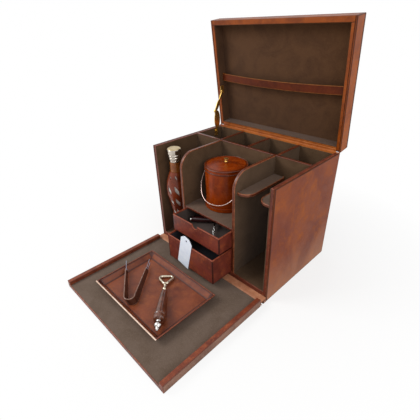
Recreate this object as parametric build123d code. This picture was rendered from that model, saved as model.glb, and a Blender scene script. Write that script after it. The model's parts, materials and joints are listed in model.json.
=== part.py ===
from build123d import *
import math
import os

# A travel bar case, open: a leather-covered wooden box with a hinged lid, a front flap that folds
# down on the ground, a divided inside lined with suede, two drawers, and its loose bar tools.
# Millimetres. X is to the right seen from the front, Y is to the back, Z is up.
# The origin lies on the ground, at the centre of the walls' footprint.

# Case walls and boards. The case is as wide as its three bays, their partitions and its walls
side_bay_width = 112.8
centre_bay_width = 208.0
case_depth = 320.0
case_height = 360.0
wall_t = 14.0
base_t = 14.0
floor_t = 14.0
lining_t = 1.2
front_strip_t = 1.0
front_strip_gap = 0.2

# The base board runs out in front of the walls and ends in a half-round nose, the flap's hinge line
nose_reach = 26.0
nose_cover_t = 1.0
nose_cover_run = 5.0

# Partitions, dividers and shelves
board_t = 8.0
edge_t = 2.0
rear_bay_depth = 115.8
rear_bays = 4
partition_setback = 2.0
partition_corner_r = 50.0
shelf_t = 6.0
shelf_setback = 3.0
drawer_shelf_t = 4.0

# Drawers
lower_drawer_h = 87.8
upper_drawer_h = 57.0
drawer_depth = 149.0
drawer_side_gap = 2.5
drawer_run_gap = 0.3
drawer_top_gap = 0.6
drawer_wall_t = 4.0
drawer_floor_t = 4.0
drawer_back_gap = 1.0
lower_drawer_travel = 109.0
upper_drawer_travel = 81.0
notch_r = 12.0
corner_round = 1.5

# Glass ledges in the right bay
ledge_t = 6.0
ledge_drop = 57.0
ledge_depth = 168.0
left_ledge_width = 38.0
right_ledge_width = 48.0
ledge_corner_r = 30.0
ledge_rear_r = 8.0

# Lid, drawn closed and then turned back to its open rest place
lid_depth = 346.0
lid_height = 44.0
lid_rim_t = 14.0
lid_top_t = 7.0
lid_gap = 0.3
lid_open_deg = 82.8
hinge_strip_t = 2.7
hinge_strip_gap = 0.3
strap_width = 24.0
strap_t = 2.4
strap_from_hinge = 170.0
strap_depth = 20.0
strap_bow = 7.0
strap_tab_reach = 10.0

# Folding brass stay at the left of the lid
stay_foot_from_hinge = 42.0
stay_foot_drop = 12.0
stay_lower_reach = 73.0
stay_upper_reach = 72.0
stay_lid_reach = 124.5
stay_lid_rise = 3.0
stay_arm_t = 2.0
stay_end_r = 6.0
stay_neck_r = 3.0
stay_gap = 0.3
stay_plate_t = 1.5
stay_plate_w = 16.0
stay_plate_h = 26.0
stay_lid_plate_drop = 2.2
stay_pin_r = 2.4
stay_pin_clear = 0.05
stay_head_r = 4.2
stay_head_t = 1.6
stay_blade_w = 28.0
stay_blade_run = 64.0
stay_upper_blade_w = 14.0
stay_upper_blade_run = 44.0

# Front flap
flap_length = 345.2
flap_t = 13.0
flap_rim_w = 15.0
flap_rim_h = 12.7
flap_gap = 0.4
flap_lining_t = 1.0
flap_binding_t = 2.0

# Ice bucket
bucket_x = -17.0
bucket_from_cross = 72.0
bucket_foot_r = 69.4
bucket_foot_h = 13.0
bucket_r = 66.5
bucket_taper = 1.5
bucket_h = 112.0
bucket_wall_t = 3.5
liner_t = 2.0
bucket_lid_r = 66.6
bucket_lid_h = 11.5
bucket_lid_dome = 2.5
lid_dome_share = 0.93
bucket_lid_gap = 0.3
lid_plug_clear = 1.2
lid_plug_h = 5.0
piping_r = 1.6
knob_stem_r = 3.2
knob_ball_r = 5.4
knob_cap_r = 7.2
knob_cap_t = 3.0
knob_h = 15.5
bail_drop = 8.0
bail_turn_deg = 14.8
bail_lean_deg = 44.4
bail_reach = 118.0
bail_wire_r = 1.7
bail_eye_r = 4.6
bail_pin_r = 2.3
bail_pin_clear = 0.08
bail_side_gap = 0.3
bail_boss_r = 6.0
bail_boss_t = 2.8
bail_head_r = 4.4
bail_head_t = 1.6
# The bail's corners as shares of its half width and of its reach, and its bends as shares of its reach
bail_corner_shares = ((1.0, 0.507), (0.507, 1.0))
bail_radius_shares = (0.95, 0.49)

# Leather-clad bottle
bottle_side_gap = 2.8
bottle_from_front = 42.0
bottle_body_h = 244.0
bottle_max_r = 36.0
bottle_glass_t = 3.0
bottle_clad_t = 2.4
bottle_collar_h = 34.0
bottle_neck_r = 18.0
bottle_mouth_r = 12.0
bottle_base_t = 8.0
cap_gap = 0.3
cap_h = 46.0
cap_base_r = 17.6
cap_top_r = 22.8
cap_steps = 3
cap_step_t = 2.2
window_w = 14.0
window_h = 38.0
window_columns = 8
window_rows = 4
window_turn_deg = 4.0
# Each row's windows as a share of the full size, from the top
window_size_shares = (0.4, 1.0, 1.0, 1.0)
window_row_step = 45.0
window_top_z = 256.0
cap_band_share = 0.55
cap_groove_share = 0.45
cap_groove_at_share = 0.75
# The bottle's outline: shares of its clad height, and of its widest radius
bottle_outline_shares = ((0.0, 0.72), (0.14, 0.68), (0.35, 0.60), (0.52, 0.78), (0.735, 1.0),
                         (0.88, 0.86), (1.0, 0.56))

# Serving tray on the flap
tray_x = -11.5
tray_from_flap_rear = 184.1
tray_w = 303.0
tray_d = 209.0
tray_h = 20.5
tray_flare = 14.0
tray_wall_t = 3.0
tray_floor_t = 3.0
tray_gap = 0.3

# Ice tongs in the tray
tongs_from_tray_x = -17.5
tongs_from_tray_y = -66.5
tongs_bend_r = 15.0
tongs_t = 3.2
tongs_w = 25.0
tongs_arm_run = 124.0
tongs_claw_run = 34.0
tongs_claw_t = 1.6
tongs_claw_tip_w = 4.0
tongs_left_deg = 146.8
tongs_right_deg = 130.5
tongs_split_gap = 0.3
tongs_lift = 0.4
tongs_claw_rise = 4.0
claw_root_share = 0.15
claw_knee_share = 0.70
claw_knee_up_share = 0.985

# Bottle opener in the tray
opener_from_tray_x = -15.0
opener_from_tray_y = 57.5
opener_turn_deg = -44.3
opener_tilt_deg = 4.4
opener_lift = 1.2
opener_wire_r = 4.2
opener_head_w = 58.0
opener_head_back = 10.0
opener_head_front = 30.0
opener_head_corner_r = 9.0
opener_ball_r = 5.0
opener_big_ball_r = 6.4
opener_neck_r = 3.8
opener_neck_run = 60.0
opener_handle_run = 112.0
opener_handle_r = 16.5
opener_finial_run = 35.0
opener_finial_r = 10.0
opener_bead_shares = (0.55, 0.81)
# Outlines of turned pieces: shares of their run, and of their radius
opener_handle_shares = ((0.0, 0.0), (0.0, 0.48), (0.06, 0.56), (0.45, 0.74), (0.80, 0.92),
                        (0.84, 1.0), (0.88, 0.88), (0.92, 1.0), (0.97, 0.94), (1.0, 0.80), (1.0, 0.0))
opener_finial_shares = ((0.0, 0.0), (0.0, 0.62), (0.10, 0.66), (0.20, 0.55), (0.30, 0.62),
                        (0.42, 0.95), (0.52, 1.0), (0.62, 0.86), (0.72, 0.48), (0.80, 0.52),
                        (0.90, 0.40), (1.0, 0.18), (1.0, 0.0))

# Corkscrew in the upper drawer
corkscrew_x = -47.2
corkscrew_from_drawer_front = 96.4
corkscrew_turn_deg = 41.0
corkscrew_handle_l = 120.0
corkscrew_handle_r = 11.0
corkscrew_cap_run = 9.0
corkscrew_shank_run = 40.0
corkscrew_shank_at = 28.0
corkscrew_shank_root_share = 0.8
corkscrew_shank_r = 2.5
worm_run = 52.8
worm_pitch = 8.8
worm_r = 3.2
worm_wire_r = 1.2
worm_overlap = 4.0
worm_root_step = 0.4
corkscrew_grip_shares = ((-1.0, 0.70), (-0.7, 0.92), (-0.35, 1.0), (0.0, 0.94), (0.35, 1.0),
                         (0.7, 0.92), (1.0, 0.70))
corkscrew_end_shares = ((0.0, 0.0), (0.0, 0.78), (0.35, 0.84), (0.75, 0.66), (1.0, 0.30), (1.0, 0.0))

# Blank paper tag in front of the lower drawer
tag_w = 49.0
tag_h = 122.0
tag_t = 0.8
tag_clip = 14.0
tag_hole_r = 3.0
tag_lean_deg = 14.5
tag_x = -34.5
tag_low_z = 22.0
tag_gap = 0.3

# Places worked out from the sizes above
centre_half_w = centre_bay_width / 2
half_w = centre_half_w + board_t + side_bay_width + lining_t + wall_t
case_width = 2 * half_w
half_d = case_depth / 2
inner_half_w = half_w - wall_t
lined_half_w = inner_half_w - lining_t
floor_z = base_t + floor_t
back_inner_y = half_d - wall_t
back_lined_y = back_inner_y - lining_t
cross_back_y = back_lined_y - rear_bay_depth
cross_front_y = cross_back_y - board_t
partition_front_y = -half_d + partition_setback
nose_r = base_t / 2
nose_y = -half_d - nose_reach + nose_r
flap_rear_y = nose_y - nose_r - flap_gap
lower_drawer_z = floor_z + drawer_run_gap
drawer_shelf_z = lower_drawer_z + lower_drawer_h + drawer_top_gap
upper_drawer_z = drawer_shelf_z + drawer_shelf_t + drawer_run_gap
bucket_shelf_z = upper_drawer_z + upper_drawer_h + drawer_top_gap
bucket_z = bucket_shelf_z + shelf_t
ledge_z = case_height - ledge_drop - ledge_t
drawer_half_w = centre_half_w - drawer_side_gap
drawer_closed_y = cross_front_y - drawer_back_gap - drawer_depth
bottle_x = -lined_half_w + bottle_side_gap + bottle_max_r
bottle_y = bottle_from_front - half_d
bucket_y = cross_front_y - bucket_from_cross
stay_foot_y = half_d - stay_foot_from_hinge
corkscrew_y = drawer_closed_y - upper_drawer_travel + corkscrew_from_drawer_front
tray_y = flap_rear_y - tray_from_flap_rear
tongs_x = tray_x + tongs_from_tray_x
tongs_y = tray_y + tongs_from_tray_y
opener_x = tray_x + opener_from_tray_x
opener_y = tray_y + opener_from_tray_y


def block(x0, x1, y0, y1, z0, z1):
    """A box between two opposite corners."""
    middle = Pos((x0 + x1) / 2, (y0 + y1) / 2, (z0 + z1) / 2)
    return middle * Box(x1 - x0, y1 - y0, z1 - z0)


def save(name, *solids):
    """Write one node: a single solid, or a group of separate solids."""
    shape = solids[0] if len(solids) == 1 else Compound(children=list(solids))
    export_step(shape, f"parts/{name}.step")


def side_plate(points, x0, x1):
    """A plate whose outline is drawn in the Y-Z plane, between two X places."""
    outline = Plane.YZ.offset(x0) * make_face(Polyline(*points, close=True))
    return extrude(outline, x1 - x0)


def turned(profile_points, x, y, z):
    """A turned piece about the vertical line through (x, y, z): points are (radius, height)."""
    outline = Plane.XZ * make_face(Polyline(*profile_points, close=True))
    return Pos(x, y, z) * revolve(outline, Axis.Z)


def base_and_walls():
    """The outer box: base board with its nose, two side walls and the back wall."""
    tongue_top = base_t - front_strip_t
    board = block(-half_w, half_w, -half_d, half_d, 0, base_t)
    board += block(-half_w, half_w, nose_y, -half_d, 0, tongue_top)
    core_r = nose_r - nose_cover_t
    nose = Pos(0, nose_y, nose_r) * Rot(0, 90, 0) * Cylinder(core_r, case_width)
    save("base_board", board + nose)

    cover = Pos(0, nose_y, nose_r) * Rot(0, 90, 0) * Cylinder(nose_r, case_width)
    cover -= Pos(0, nose_y, nose_r) * Rot(0, 90, 0) * Cylinder(core_r, case_width)
    cover -= block(-half_w, half_w, nose_y, nose_y + base_t, 0, base_t)
    cover += block(-half_w, half_w, nose_y, nose_y + nose_cover_run, tongue_top, base_t)
    save("hinge_nose_cover", cover)

    strip_front = nose_y + nose_cover_run + front_strip_gap
    save("front_hinge_strip", block(-half_w, half_w, strip_front, -half_d, tongue_top, base_t))

    save("left_side_wall", block(-half_w, -inner_half_w, -half_d, half_d, base_t, case_height))
    save("right_side_wall", block(inner_half_w, half_w, -half_d, half_d, base_t, case_height))
    strip_bottom = case_height - hinge_strip_gap - hinge_strip_t
    save("back_wall", block(-inner_half_w, inner_half_w, back_inner_y, half_d, base_t, strip_bottom))
    strip_top = case_height - hinge_strip_gap
    strip = block(-inner_half_w, inner_half_w, back_inner_y, half_d, strip_bottom, strip_top)
    save("back_hinge_strip", strip)
    save("interior_floor", block(-inner_half_w, inner_half_w, -half_d, back_inner_y, base_t, floor_z))

    lining_top = case_height - edge_t
    lining = block(-inner_half_w, inner_half_w, -half_d, back_inner_y, floor_z, lining_top)
    lining -= block(-lined_half_w, lined_half_w, -half_d, back_lined_y, floor_z, lining_top)
    save("wall_lining", lining)


def divider_x(i):
    """Where divider number i of the rear bays stands."""
    return -inner_half_w + 2 * inner_half_w * i / rear_bays


def dividers():
    """The cross partition and the dividers behind it, with a leather strip along each top."""
    core_top = case_height - edge_t
    save("cross_partition",
         block(-lined_half_w, lined_half_w, cross_front_y, cross_back_y, floor_z, core_top))
    edges = [block(-lined_half_w, lined_half_w, cross_front_y, cross_back_y, core_top, case_height)]
    for i in range(1, rear_bays):
        x0 = divider_x(i) - board_t / 2
        x1 = x0 + board_t
        save(f"rear_divider_{i}", block(x0, x1, cross_back_y, back_lined_y, floor_z, core_top))
        edges.append(block(x0, x1, cross_back_y, back_lined_y, core_top, case_height))
    save("divider_top_edges", *edges)


def partition_outline(inset):
    """Side view of a front partition: square at the back, rounded at the front top corner."""
    front = partition_front_y + inset
    top = case_height - inset
    r = partition_corner_r - inset
    lines = [
        Line((cross_front_y, floor_z), (front, floor_z)),
        Line((front, floor_z), (front, top - r)),
        RadiusArc((front, top - r), (front + r, top), r),
        Line((front + r, top), (cross_front_y, top)),
        Line((cross_front_y, top), (cross_front_y, floor_z)),
    ]
    return make_face(lines)


def partitions():
    """The two front partitions, with a leather strip round the front and the top."""
    edges = []
    for name, x0 in (("left", -centre_half_w - board_t), ("right", centre_half_w)):
        place = Plane.YZ.offset(x0)
        whole = extrude(place * partition_outline(0), board_t)
        core = extrude(place * partition_outline(edge_t), board_t)
        save(f"{name}_partition", core)
        edges.append(whole - core)
    save("partition_edges", *edges)


def shelves():
    """The bucket shelf, the thin shelf between the drawers, and the two glass ledges."""
    front = partition_front_y + shelf_setback
    top = bucket_shelf_z + shelf_t
    save("bucket_shelf",
         block(-centre_half_w, centre_half_w, front + edge_t, cross_front_y, bucket_shelf_z, top))
    save("bucket_shelf_edge",
         block(-centre_half_w, centre_half_w, front, front + edge_t, bucket_shelf_z, top))
    save("drawer_shelf",
         block(-centre_half_w, centre_half_w, front, cross_front_y,
               drawer_shelf_z, drawer_shelf_z + drawer_shelf_t))

    left_x0 = centre_half_w + board_t
    left_x1 = left_x0 + left_ledge_width
    right_x1 = lined_half_w
    right_x0 = right_x1 - right_ledge_width
    ledge_front = cross_front_y - ledge_depth
    for name, x0, x1, free_side in (("left_glass_ledge", left_x0, left_x1, -1),
                                    ("right_glass_ledge", right_x0, right_x1, 0)):
        ledge = block(x0, x1, ledge_front, cross_front_y, ledge_z, ledge_z + ledge_t)
        corners = ledge.edges().filter_by(Axis.Z).sort_by(Axis.Y)
        front_corner = corners[:2].sort_by(Axis.X)[free_side]
        ledge = fillet(front_corner, ledge_corner_r)
        corners = ledge.edges().filter_by(Axis.Z).sort_by(Axis.Y)
        rear_corner = corners[-2:].sort_by(Axis.X)[free_side]
        save(name, fillet(rear_corner, ledge_rear_r))


def drawer(name, z, height, travel, notch):
    """An open box, pulled out by its travel at rest."""
    front = drawer_closed_y - travel
    back = front + drawer_depth
    box = block(-drawer_half_w, drawer_half_w, front, back, z, z + height)
    box = fillet(box.edges().filter_by(Axis.Z), corner_round)
    box -= block(-drawer_half_w + drawer_wall_t, drawer_half_w - drawer_wall_t,
                 front + drawer_wall_t, back - drawer_wall_t,
                 z + drawer_floor_t, z + height)
    if notch:
        cut = Pos(0, front + drawer_wall_t / 2, z + height) * Rot(90, 0, 0)
        box -= cut * Cylinder(notch_r, drawer_wall_t)
    save(name, box)


def lid_back(shape):
    """Turn a piece drawn in the closed lid to the open rest place."""
    return shape.rotate(Axis((0, half_d, case_height), (1, 0, 0)), -lid_open_deg)


def lid():
    """The lid: rims, top panel, lining, hinge strip, and the strap across it."""
    front = half_d - lid_depth
    bottom = case_height + lid_gap
    panel_z = case_height + lid_height - lid_top_t
    inner_front = front + lid_rim_t
    save("lid_top_panel",
         lid_back(block(-half_w, half_w, front, half_d, panel_z, case_height + lid_height)))
    strip_top = bottom + hinge_strip_gap + hinge_strip_t
    rims = block(-half_w, half_w, front, half_d, bottom, panel_z)
    rims -= block(-inner_half_w, inner_half_w, inner_front, back_inner_y, bottom, panel_z)
    rims -= block(-inner_half_w, inner_half_w, back_inner_y, half_d, bottom, strip_top)
    save("lid_rim_frame", lid_back(rims))
    strip = block(-inner_half_w, inner_half_w, back_inner_y, half_d,
                  bottom + hinge_strip_gap, strip_top)
    save("lid_hinge_strip", lid_back(strip))

    lining_z = bottom + edge_t
    lining = block(-inner_half_w, inner_half_w, inner_front, back_inner_y, lining_z, panel_z)
    lining -= block(-lined_half_w, lined_half_w, inner_front + lining_t, back_lined_y,
                    lining_z, panel_z - lining_t)
    save("lid_lining", lid_back(lining))

    strap_y = half_d - strap_from_hinge
    y0 = strap_y - strap_width / 2
    end_z = case_height + strap_depth
    half_span = lined_half_w - strap_t
    upper = ThreePointArc((-half_span, end_z), (0, end_z - strap_bow), (half_span, end_z))
    lower_z = end_z - strap_t
    lower = ThreePointArc((-half_span, lower_z), (0, lower_z - strap_bow), (half_span, lower_z))
    outline = make_face([upper, lower, Line(upper @ 0, lower @ 0), Line(upper @ 1, lower @ 1)])
    strap = extrude(Plane.XZ.offset(-y0) * outline, -strap_width)
    pieces = [lid_back(strap)]
    for side in (-1, 1):
        x_in = side * half_span
        x_out = side * lined_half_w
        tab = block(min(x_in, x_out), max(x_in, x_out), y0, y0 + strap_width,
                    lower_z, lower_z + strap_tab_reach)
        pieces.append(lid_back(tab))
    save("lid_strap", *pieces)


def stay_points():
    """Foot, elbow and lid pivots of the stay in Y and Z, at rest."""
    foot = Vector(stay_foot_y, case_height - stay_foot_drop)
    turn = math.radians(lid_open_deg)
    ahead = -stay_lid_reach
    up = stay_lid_rise
    top = Vector(half_d + ahead * math.cos(turn) + up * math.sin(turn),
                 case_height - ahead * math.sin(turn) + up * math.cos(turn))
    span = top - foot
    along = (stay_lower_reach ** 2 - stay_upper_reach ** 2 + span.length ** 2) / (2 * span.length)
    aside = math.sqrt(stay_lower_reach ** 2 - along ** 2)
    unit = span / span.length
    elbow = foot + unit * along + Vector(-unit.Y, unit.X) * aside
    return foot, elbow, top


def bar(start, end, x0, x1, start_r, end_r, waist_r):
    """A flat arm in the Y-Z plane between two round ends, slimmer in the middle."""
    run = end - start
    side = Vector(-run.Y, run.X) / run.length
    corners = [start + side * waist_r, end + side * waist_r,
               end - side * waist_r, start - side * waist_r]
    arm = side_plate([(p.X, p.Y) for p in corners], x0, x1)
    for point, radius in ((start, start_r), (end, end_r)):
        arm += x_rod(point, x0, x1, radius)
    return arm


def x_rod(point, x0, x1, radius):
    """A round rod along X between two X places, at a point given in Y and Z."""
    return Pos((x0 + x1) / 2, point.X, point.Y) * Rot(0, 90, 0) * Cylinder(radius, x1 - x0)


def stay():
    """The folding stay: a foot on the case, a foot on the lid, and two arms beside each other."""
    foot, elbow, top = stay_points()
    plate_x = -lined_half_w
    foot_x = plate_x + stay_plate_t
    lower_x0 = foot_x + stay_gap
    lower_x1 = lower_x0 + stay_arm_t
    upper_x0 = lower_x1 + stay_gap
    upper_x1 = upper_x0 + stay_arm_t
    hole_r = stay_pin_r + stay_pin_clear
    half_plate = stay_plate_w / 2

    case_foot = block(plate_x, foot_x, foot.X - half_plate, foot.X + half_plate,
                      foot.Y - stay_plate_h + half_plate, foot.Y + half_plate)
    case_foot += x_rod(foot, foot_x, lower_x1 + stay_gap, stay_pin_r)
    case_foot += x_rod(foot, lower_x1 + stay_gap, lower_x1 + stay_gap + stay_head_t, stay_head_r)
    save("stay_case_foot", case_foot)

    plate_y = top.X - stay_lid_plate_drop
    lid_foot = block(plate_x, foot_x, plate_y, plate_y + stay_plate_w,
                     top.Y - half_plate, top.Y - half_plate + stay_plate_h)
    lid_foot = lid_foot.rotate(Axis((0, top.X, top.Y), (1, 0, 0)), 90 - lid_open_deg)
    lid_foot += x_rod(top, foot_x, upper_x0 - stay_gap, stay_head_r)
    lid_foot += x_rod(top, upper_x0 - stay_gap, upper_x1 + stay_gap, stay_pin_r)
    lid_foot += x_rod(top, upper_x1 + stay_gap, upper_x1 + stay_gap + stay_head_t, stay_head_r)
    save("stay_lid_foot", lid_foot)

    run = (elbow - foot) / stay_lower_reach
    side = Vector(-run.Y, run.X)
    blade_mid = elbow - run * stay_blade_run / 2 - side * stay_blade_w / 4
    blade = Pos((lower_x0 + lower_x1) / 2, blade_mid.X, blade_mid.Y) * Rot(0, 90, 0)
    lower = bar(foot, elbow, lower_x0, lower_x1, stay_end_r, stay_end_r, stay_neck_r)
    lower += blade * extrude(Ellipse(stay_blade_run / 2, stay_blade_w / 2), stay_arm_t / 2, both=True)
    lower -= x_rod(foot, lower_x0, lower_x1, hole_r)
    save("stay_lower_arm", lower)

    upper = bar(elbow, top, upper_x0, upper_x1, stay_end_r, stay_end_r, stay_neck_r)
    upper_run = (top - elbow) / stay_upper_reach
    upper_mid = elbow + upper_run * stay_upper_blade_run / 2
    upper_tilt = math.degrees(math.atan2(upper_run.Y, upper_run.X))
    upper_blade = Pos((upper_x0 + upper_x1) / 2, upper_mid.X, upper_mid.Y) * Rot(upper_tilt, 0, 0)
    upper_blade = upper_blade * Rot(0, 90, 0)
    leaf = Ellipse(stay_upper_blade_w / 2, stay_upper_blade_run / 2)
    upper += upper_blade * extrude(leaf, stay_arm_t / 2, both=True)
    upper -= x_rod(top, upper_x0, upper_x1, hole_r)
    upper += x_rod(elbow, upper_x1, upper_x1 + stay_head_t, stay_head_r)
    save("stay_upper_arm", upper)


def flap():
    """The front flap: a board with raised side rims, suede between them and a bound front end."""
    rear = flap_rear_y
    front = rear - flap_length
    board_top = flap_t - flap_lining_t
    save("flap_board", block(-half_w, half_w, front + flap_binding_t, rear, 0, board_top))
    save("flap_end_binding", block(-half_w, half_w, front, front + flap_binding_t, 0, flap_t))
    half_in = half_w - flap_rim_w
    save("flap_lining",
         block(-half_in, half_in, front + flap_binding_t, rear, board_top, flap_t))
    rims = []
    for x0 in (-half_w, half_in):
        rim = block(x0, x0 + flap_rim_w, front + flap_binding_t, rear,
                    board_top, flap_t + flap_rim_h)
        rim += block(x0, x0 + flap_rim_w, front, front + flap_binding_t,
                     flap_t, flap_t + flap_rim_h)
        rims.append(rim)
    save("flap_side_rims", *rims)


def bucket():
    """The ice bucket on its shelf: foot, leather shell, liner, lid with knob, and a wire bail."""
    z = bucket_z
    shell_z = bucket_foot_h
    top_z = shell_z + bucket_h
    low_r = bucket_r - bucket_taper
    inner_r = bucket_r - bucket_wall_t
    low_inner_r = low_r - bucket_wall_t
    save("bucket_foot",
         turned([(0, 0), (bucket_foot_r, 0), (bucket_foot_r, shell_z), (0, shell_z)],
                bucket_x, bucket_y, z))
    floor_up = shell_z + bucket_wall_t
    save("bucket_shell",
         turned([(0, shell_z), (low_r, shell_z), (bucket_r, top_z), (inner_r, top_z),
                 (low_inner_r, floor_up), (0, floor_up)], bucket_x, bucket_y, z))
    save("bucket_liner",
         turned([(0, floor_up), (low_inner_r, floor_up), (inner_r, top_z),
                 (inner_r - liner_t, top_z), (low_inner_r - liner_t, floor_up + liner_t),
                 (0, floor_up + liner_t)], bucket_x, bucket_y, z))

    lid_z = top_z + bucket_lid_gap
    rim_z = lid_z + bucket_lid_h
    plug_r = inner_r - liner_t - lid_plug_clear
    lid_disc = turned([(0, lid_z - lid_plug_h), (plug_r, lid_z - lid_plug_h), (plug_r, lid_z),
                 (bucket_lid_r, lid_z), (bucket_lid_r, rim_z),
                 (bucket_lid_r * lid_dome_share, rim_z + bucket_lid_dome),
                 (0, rim_z + bucket_lid_dome)], bucket_x, bucket_y, z)
    piping = Pos(bucket_x, bucket_y, z + lid_z + piping_r)
    save("bucket_lid", lid_disc + piping * Torus(bucket_lid_r + piping_r / 2, piping_r))

    knob_z = rim_z + bucket_lid_dome
    stem = Pos(bucket_x, bucket_y, z + knob_z + knob_h / 2) * Cylinder(knob_stem_r, knob_h)
    ball = Pos(bucket_x, bucket_y, z + knob_z + knob_ball_r) * Sphere(knob_ball_r)
    ball &= block(bucket_x - bucket_r, bucket_x + bucket_r, bucket_y - bucket_r, bucket_y + bucket_r,
                  z + knob_z, z + knob_z + knob_h)
    cap_z = z + knob_z + knob_h - knob_cap_t / 2
    cap = Pos(bucket_x, bucket_y, cap_z) * Cylinder(knob_cap_r, knob_cap_t)
    save("bucket_knob", stem + ball + cap)

    pivot_z = z + top_z - bail_drop
    place = Pos(bucket_x, bucket_y, pivot_z) * Rot(0, 0, bail_turn_deg)
    wall_x = bucket_r - bucket_taper * bail_drop / bucket_h
    boss_x = wall_x + bail_boss_t
    eye_x0 = boss_x + bail_side_gap
    eye_x1 = eye_x0 + 2 * bail_wire_r
    pins = []
    eyes = None
    for side in (-1, 1):
        pin = x_rod_about(side, wall_x - bucket_wall_t, boss_x, bail_boss_r)
        pin += x_rod_about(side, boss_x, eye_x1 + bail_side_gap, bail_pin_r)
        pin += x_rod_about(side, eye_x1 + bail_side_gap, eye_x1 + bail_side_gap + bail_head_t,
                           bail_head_r)
        pin -= Cylinder(bucket_r, bucket_h)
        pins.append(place * pin)
        eye = x_rod_about(side, eye_x0, eye_x1, bail_eye_r)
        eye -= x_rod_about(side, eye_x0, eye_x1, bail_pin_r + bail_pin_clear)
        eyes = eye if eyes is None else eyes + eye
    save("bail_pivots", *pins)
    wire_x = (eye_x0 + eye_x1) / 2
    start = bail_eye_r - bail_wire_r
    corners = [(wire_x * a, bail_reach * b) for a, b in bail_corner_shares]
    points = [(-wire_x, start)] + [(-x, z) for x, z in corners] + corners[::-1] + [(wire_x, start)]
    radii = [bail_reach * r for r in bail_radius_shares]
    path = FilletPolyline(*points, radius=radii + radii[::-1], close=False)
    hang = Plane(origin=(0, 0, 0), x_dir=(1, 0, 0), z_dir=(0, 1, 0))
    path = hang * path
    first = path @ 0
    section = Plane(origin=first, z_dir=path % 0) * Circle(bail_wire_r)
    wire = sweep(section, path=path)
    bail = place * Rot(bail_lean_deg, 0, 0).inverse() * (eyes + wire)
    save("bucket_bail", bail)


def x_rod_about(side, near, far, radius):
    """A rod along X on one side of the origin, between two distances from it."""
    return Pos(side * (near + far) / 2, 0, 0) * Rot(0, 90, 0) * Cylinder(radius, far - near)


def bottle_face(inset):
    """Half section of the bottle's body, drawn inside its clad outline by an inset."""
    points = [(share_r * bottle_max_r - inset, share_z * bottle_body_h)
              for share_z, share_r in bottle_outline_shares]
    curve = Spline(*points)
    end = curve @ 1
    start = curve @ 0
    face = make_face([curve, Line(end, (0, end.Y)), Line((0, end.Y), (0, start.Y)),
                      Line((0, start.Y), start)])
    return face


def bottle():
    """A glass bottle clad in leather with slanting windows, a leather collar and a stepped cap."""
    z = floor_z
    place = Pos(bottle_x, bottle_y, z)
    outer = revolve(Plane.XZ * bottle_face(0), Axis.Z)
    glass = revolve(Plane.XZ * bottle_face(bottle_clad_t), Axis.Z)
    hollow = revolve(Plane.XZ * bottle_face(bottle_clad_t + bottle_glass_t), Axis.Z)
    hollow -= Pos(0, 0, bottle_base_t / 2) * Cylinder(bottle_max_r, bottle_base_t)
    clad = outer - glass
    neck_top = bottle_body_h + bottle_collar_h
    neck = Pos(0, 0, bottle_body_h + bottle_collar_h / 2)
    neck_r = bottle_neck_r - bottle_clad_t
    neck_glass = neck * Cylinder(neck_r, bottle_collar_h)
    bore_z = (neck_top + bottle_body_h / 2) / 2
    bore = Pos(0, 0, bore_z) * Cylinder(bottle_mouth_r, neck_top - bottle_body_h / 2)
    save("bottle_glass", place * (glass + neck_glass - hollow - bore))

    for row in range(window_rows):
        half_a = window_w / 2 * window_size_shares[row]
        half_b = window_h / 2 * window_size_shares[row]
        lozenge = make_face(Polyline((-half_a, half_b), (half_a, 0), (half_a, -half_b), (-half_a, 0),
                                     close=True))
        cut = extrude(Plane.XZ * lozenge, bottle_max_r)
        row_z = window_top_z - floor_z - row * window_row_step
        for column in range(window_columns):
            turn = 90 + window_turn_deg + 360 * column / window_columns
            clad -= Rot(0, 0, turn) * Pos(0, 0, row_z) * cut
    save("bottle_leather_cover", place * clad)

    collar = neck * Cylinder(bottle_neck_r, bottle_collar_h) - neck_glass
    save("bottle_collar", place * collar)

    cap_z = neck_top + cap_gap
    band_h = cap_h / (cap_steps + 2)
    points = [(0, cap_z)]
    radius_step = (cap_top_r - cap_base_r) / cap_steps
    radius = cap_base_r
    height = cap_z
    for step in range(cap_steps):
        points.append((radius, height))
        points.append((radius, height + band_h * cap_band_share))
        groove_r = radius - cap_groove_share * cap_step_t
        points.append((groove_r, height + band_h * cap_groove_at_share))
        height += band_h
        radius += radius_step
    points.append((cap_top_r, height))
    points.append((cap_top_r, cap_z + cap_h - cap_step_t))
    points.append((cap_top_r - cap_step_t, cap_z + cap_h))
    points.append((0, cap_z + cap_h))
    save("bottle_cap", turned(points, bottle_x, bottle_y, z))


def flared_block(half_x0, half_y0, z0, half_x1, half_y1, z1):
    """A block that widens from a lower rectangle to an upper one."""
    low = Plane.XY.offset(z0) * Rectangle(2 * half_x0, 2 * half_y0)
    high = Plane.XY.offset(z1) * Rectangle(2 * half_x1, 2 * half_y1)
    return loft([low, high])


def tray():
    """A serving tray with flared sides."""
    half_x = tray_w / 2
    half_y = tray_d / 2
    low_x = half_x - tray_flare
    low_y = half_y - tray_flare
    z0 = flap_t + tray_gap
    outer = flared_block(low_x, low_y, z0, half_x, half_y, z0 + tray_h)
    lift = tray_flare * tray_floor_t / tray_h
    cut = flared_block(low_x - tray_wall_t + lift, low_y - tray_wall_t + lift, z0 + tray_floor_t,
                       half_x - tray_wall_t, half_y - tray_wall_t, z0 + tray_h)
    save("serving_tray", Pos(tray_x, tray_y, 0) * (outer - cut))
    return z0 + tray_floor_t


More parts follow.
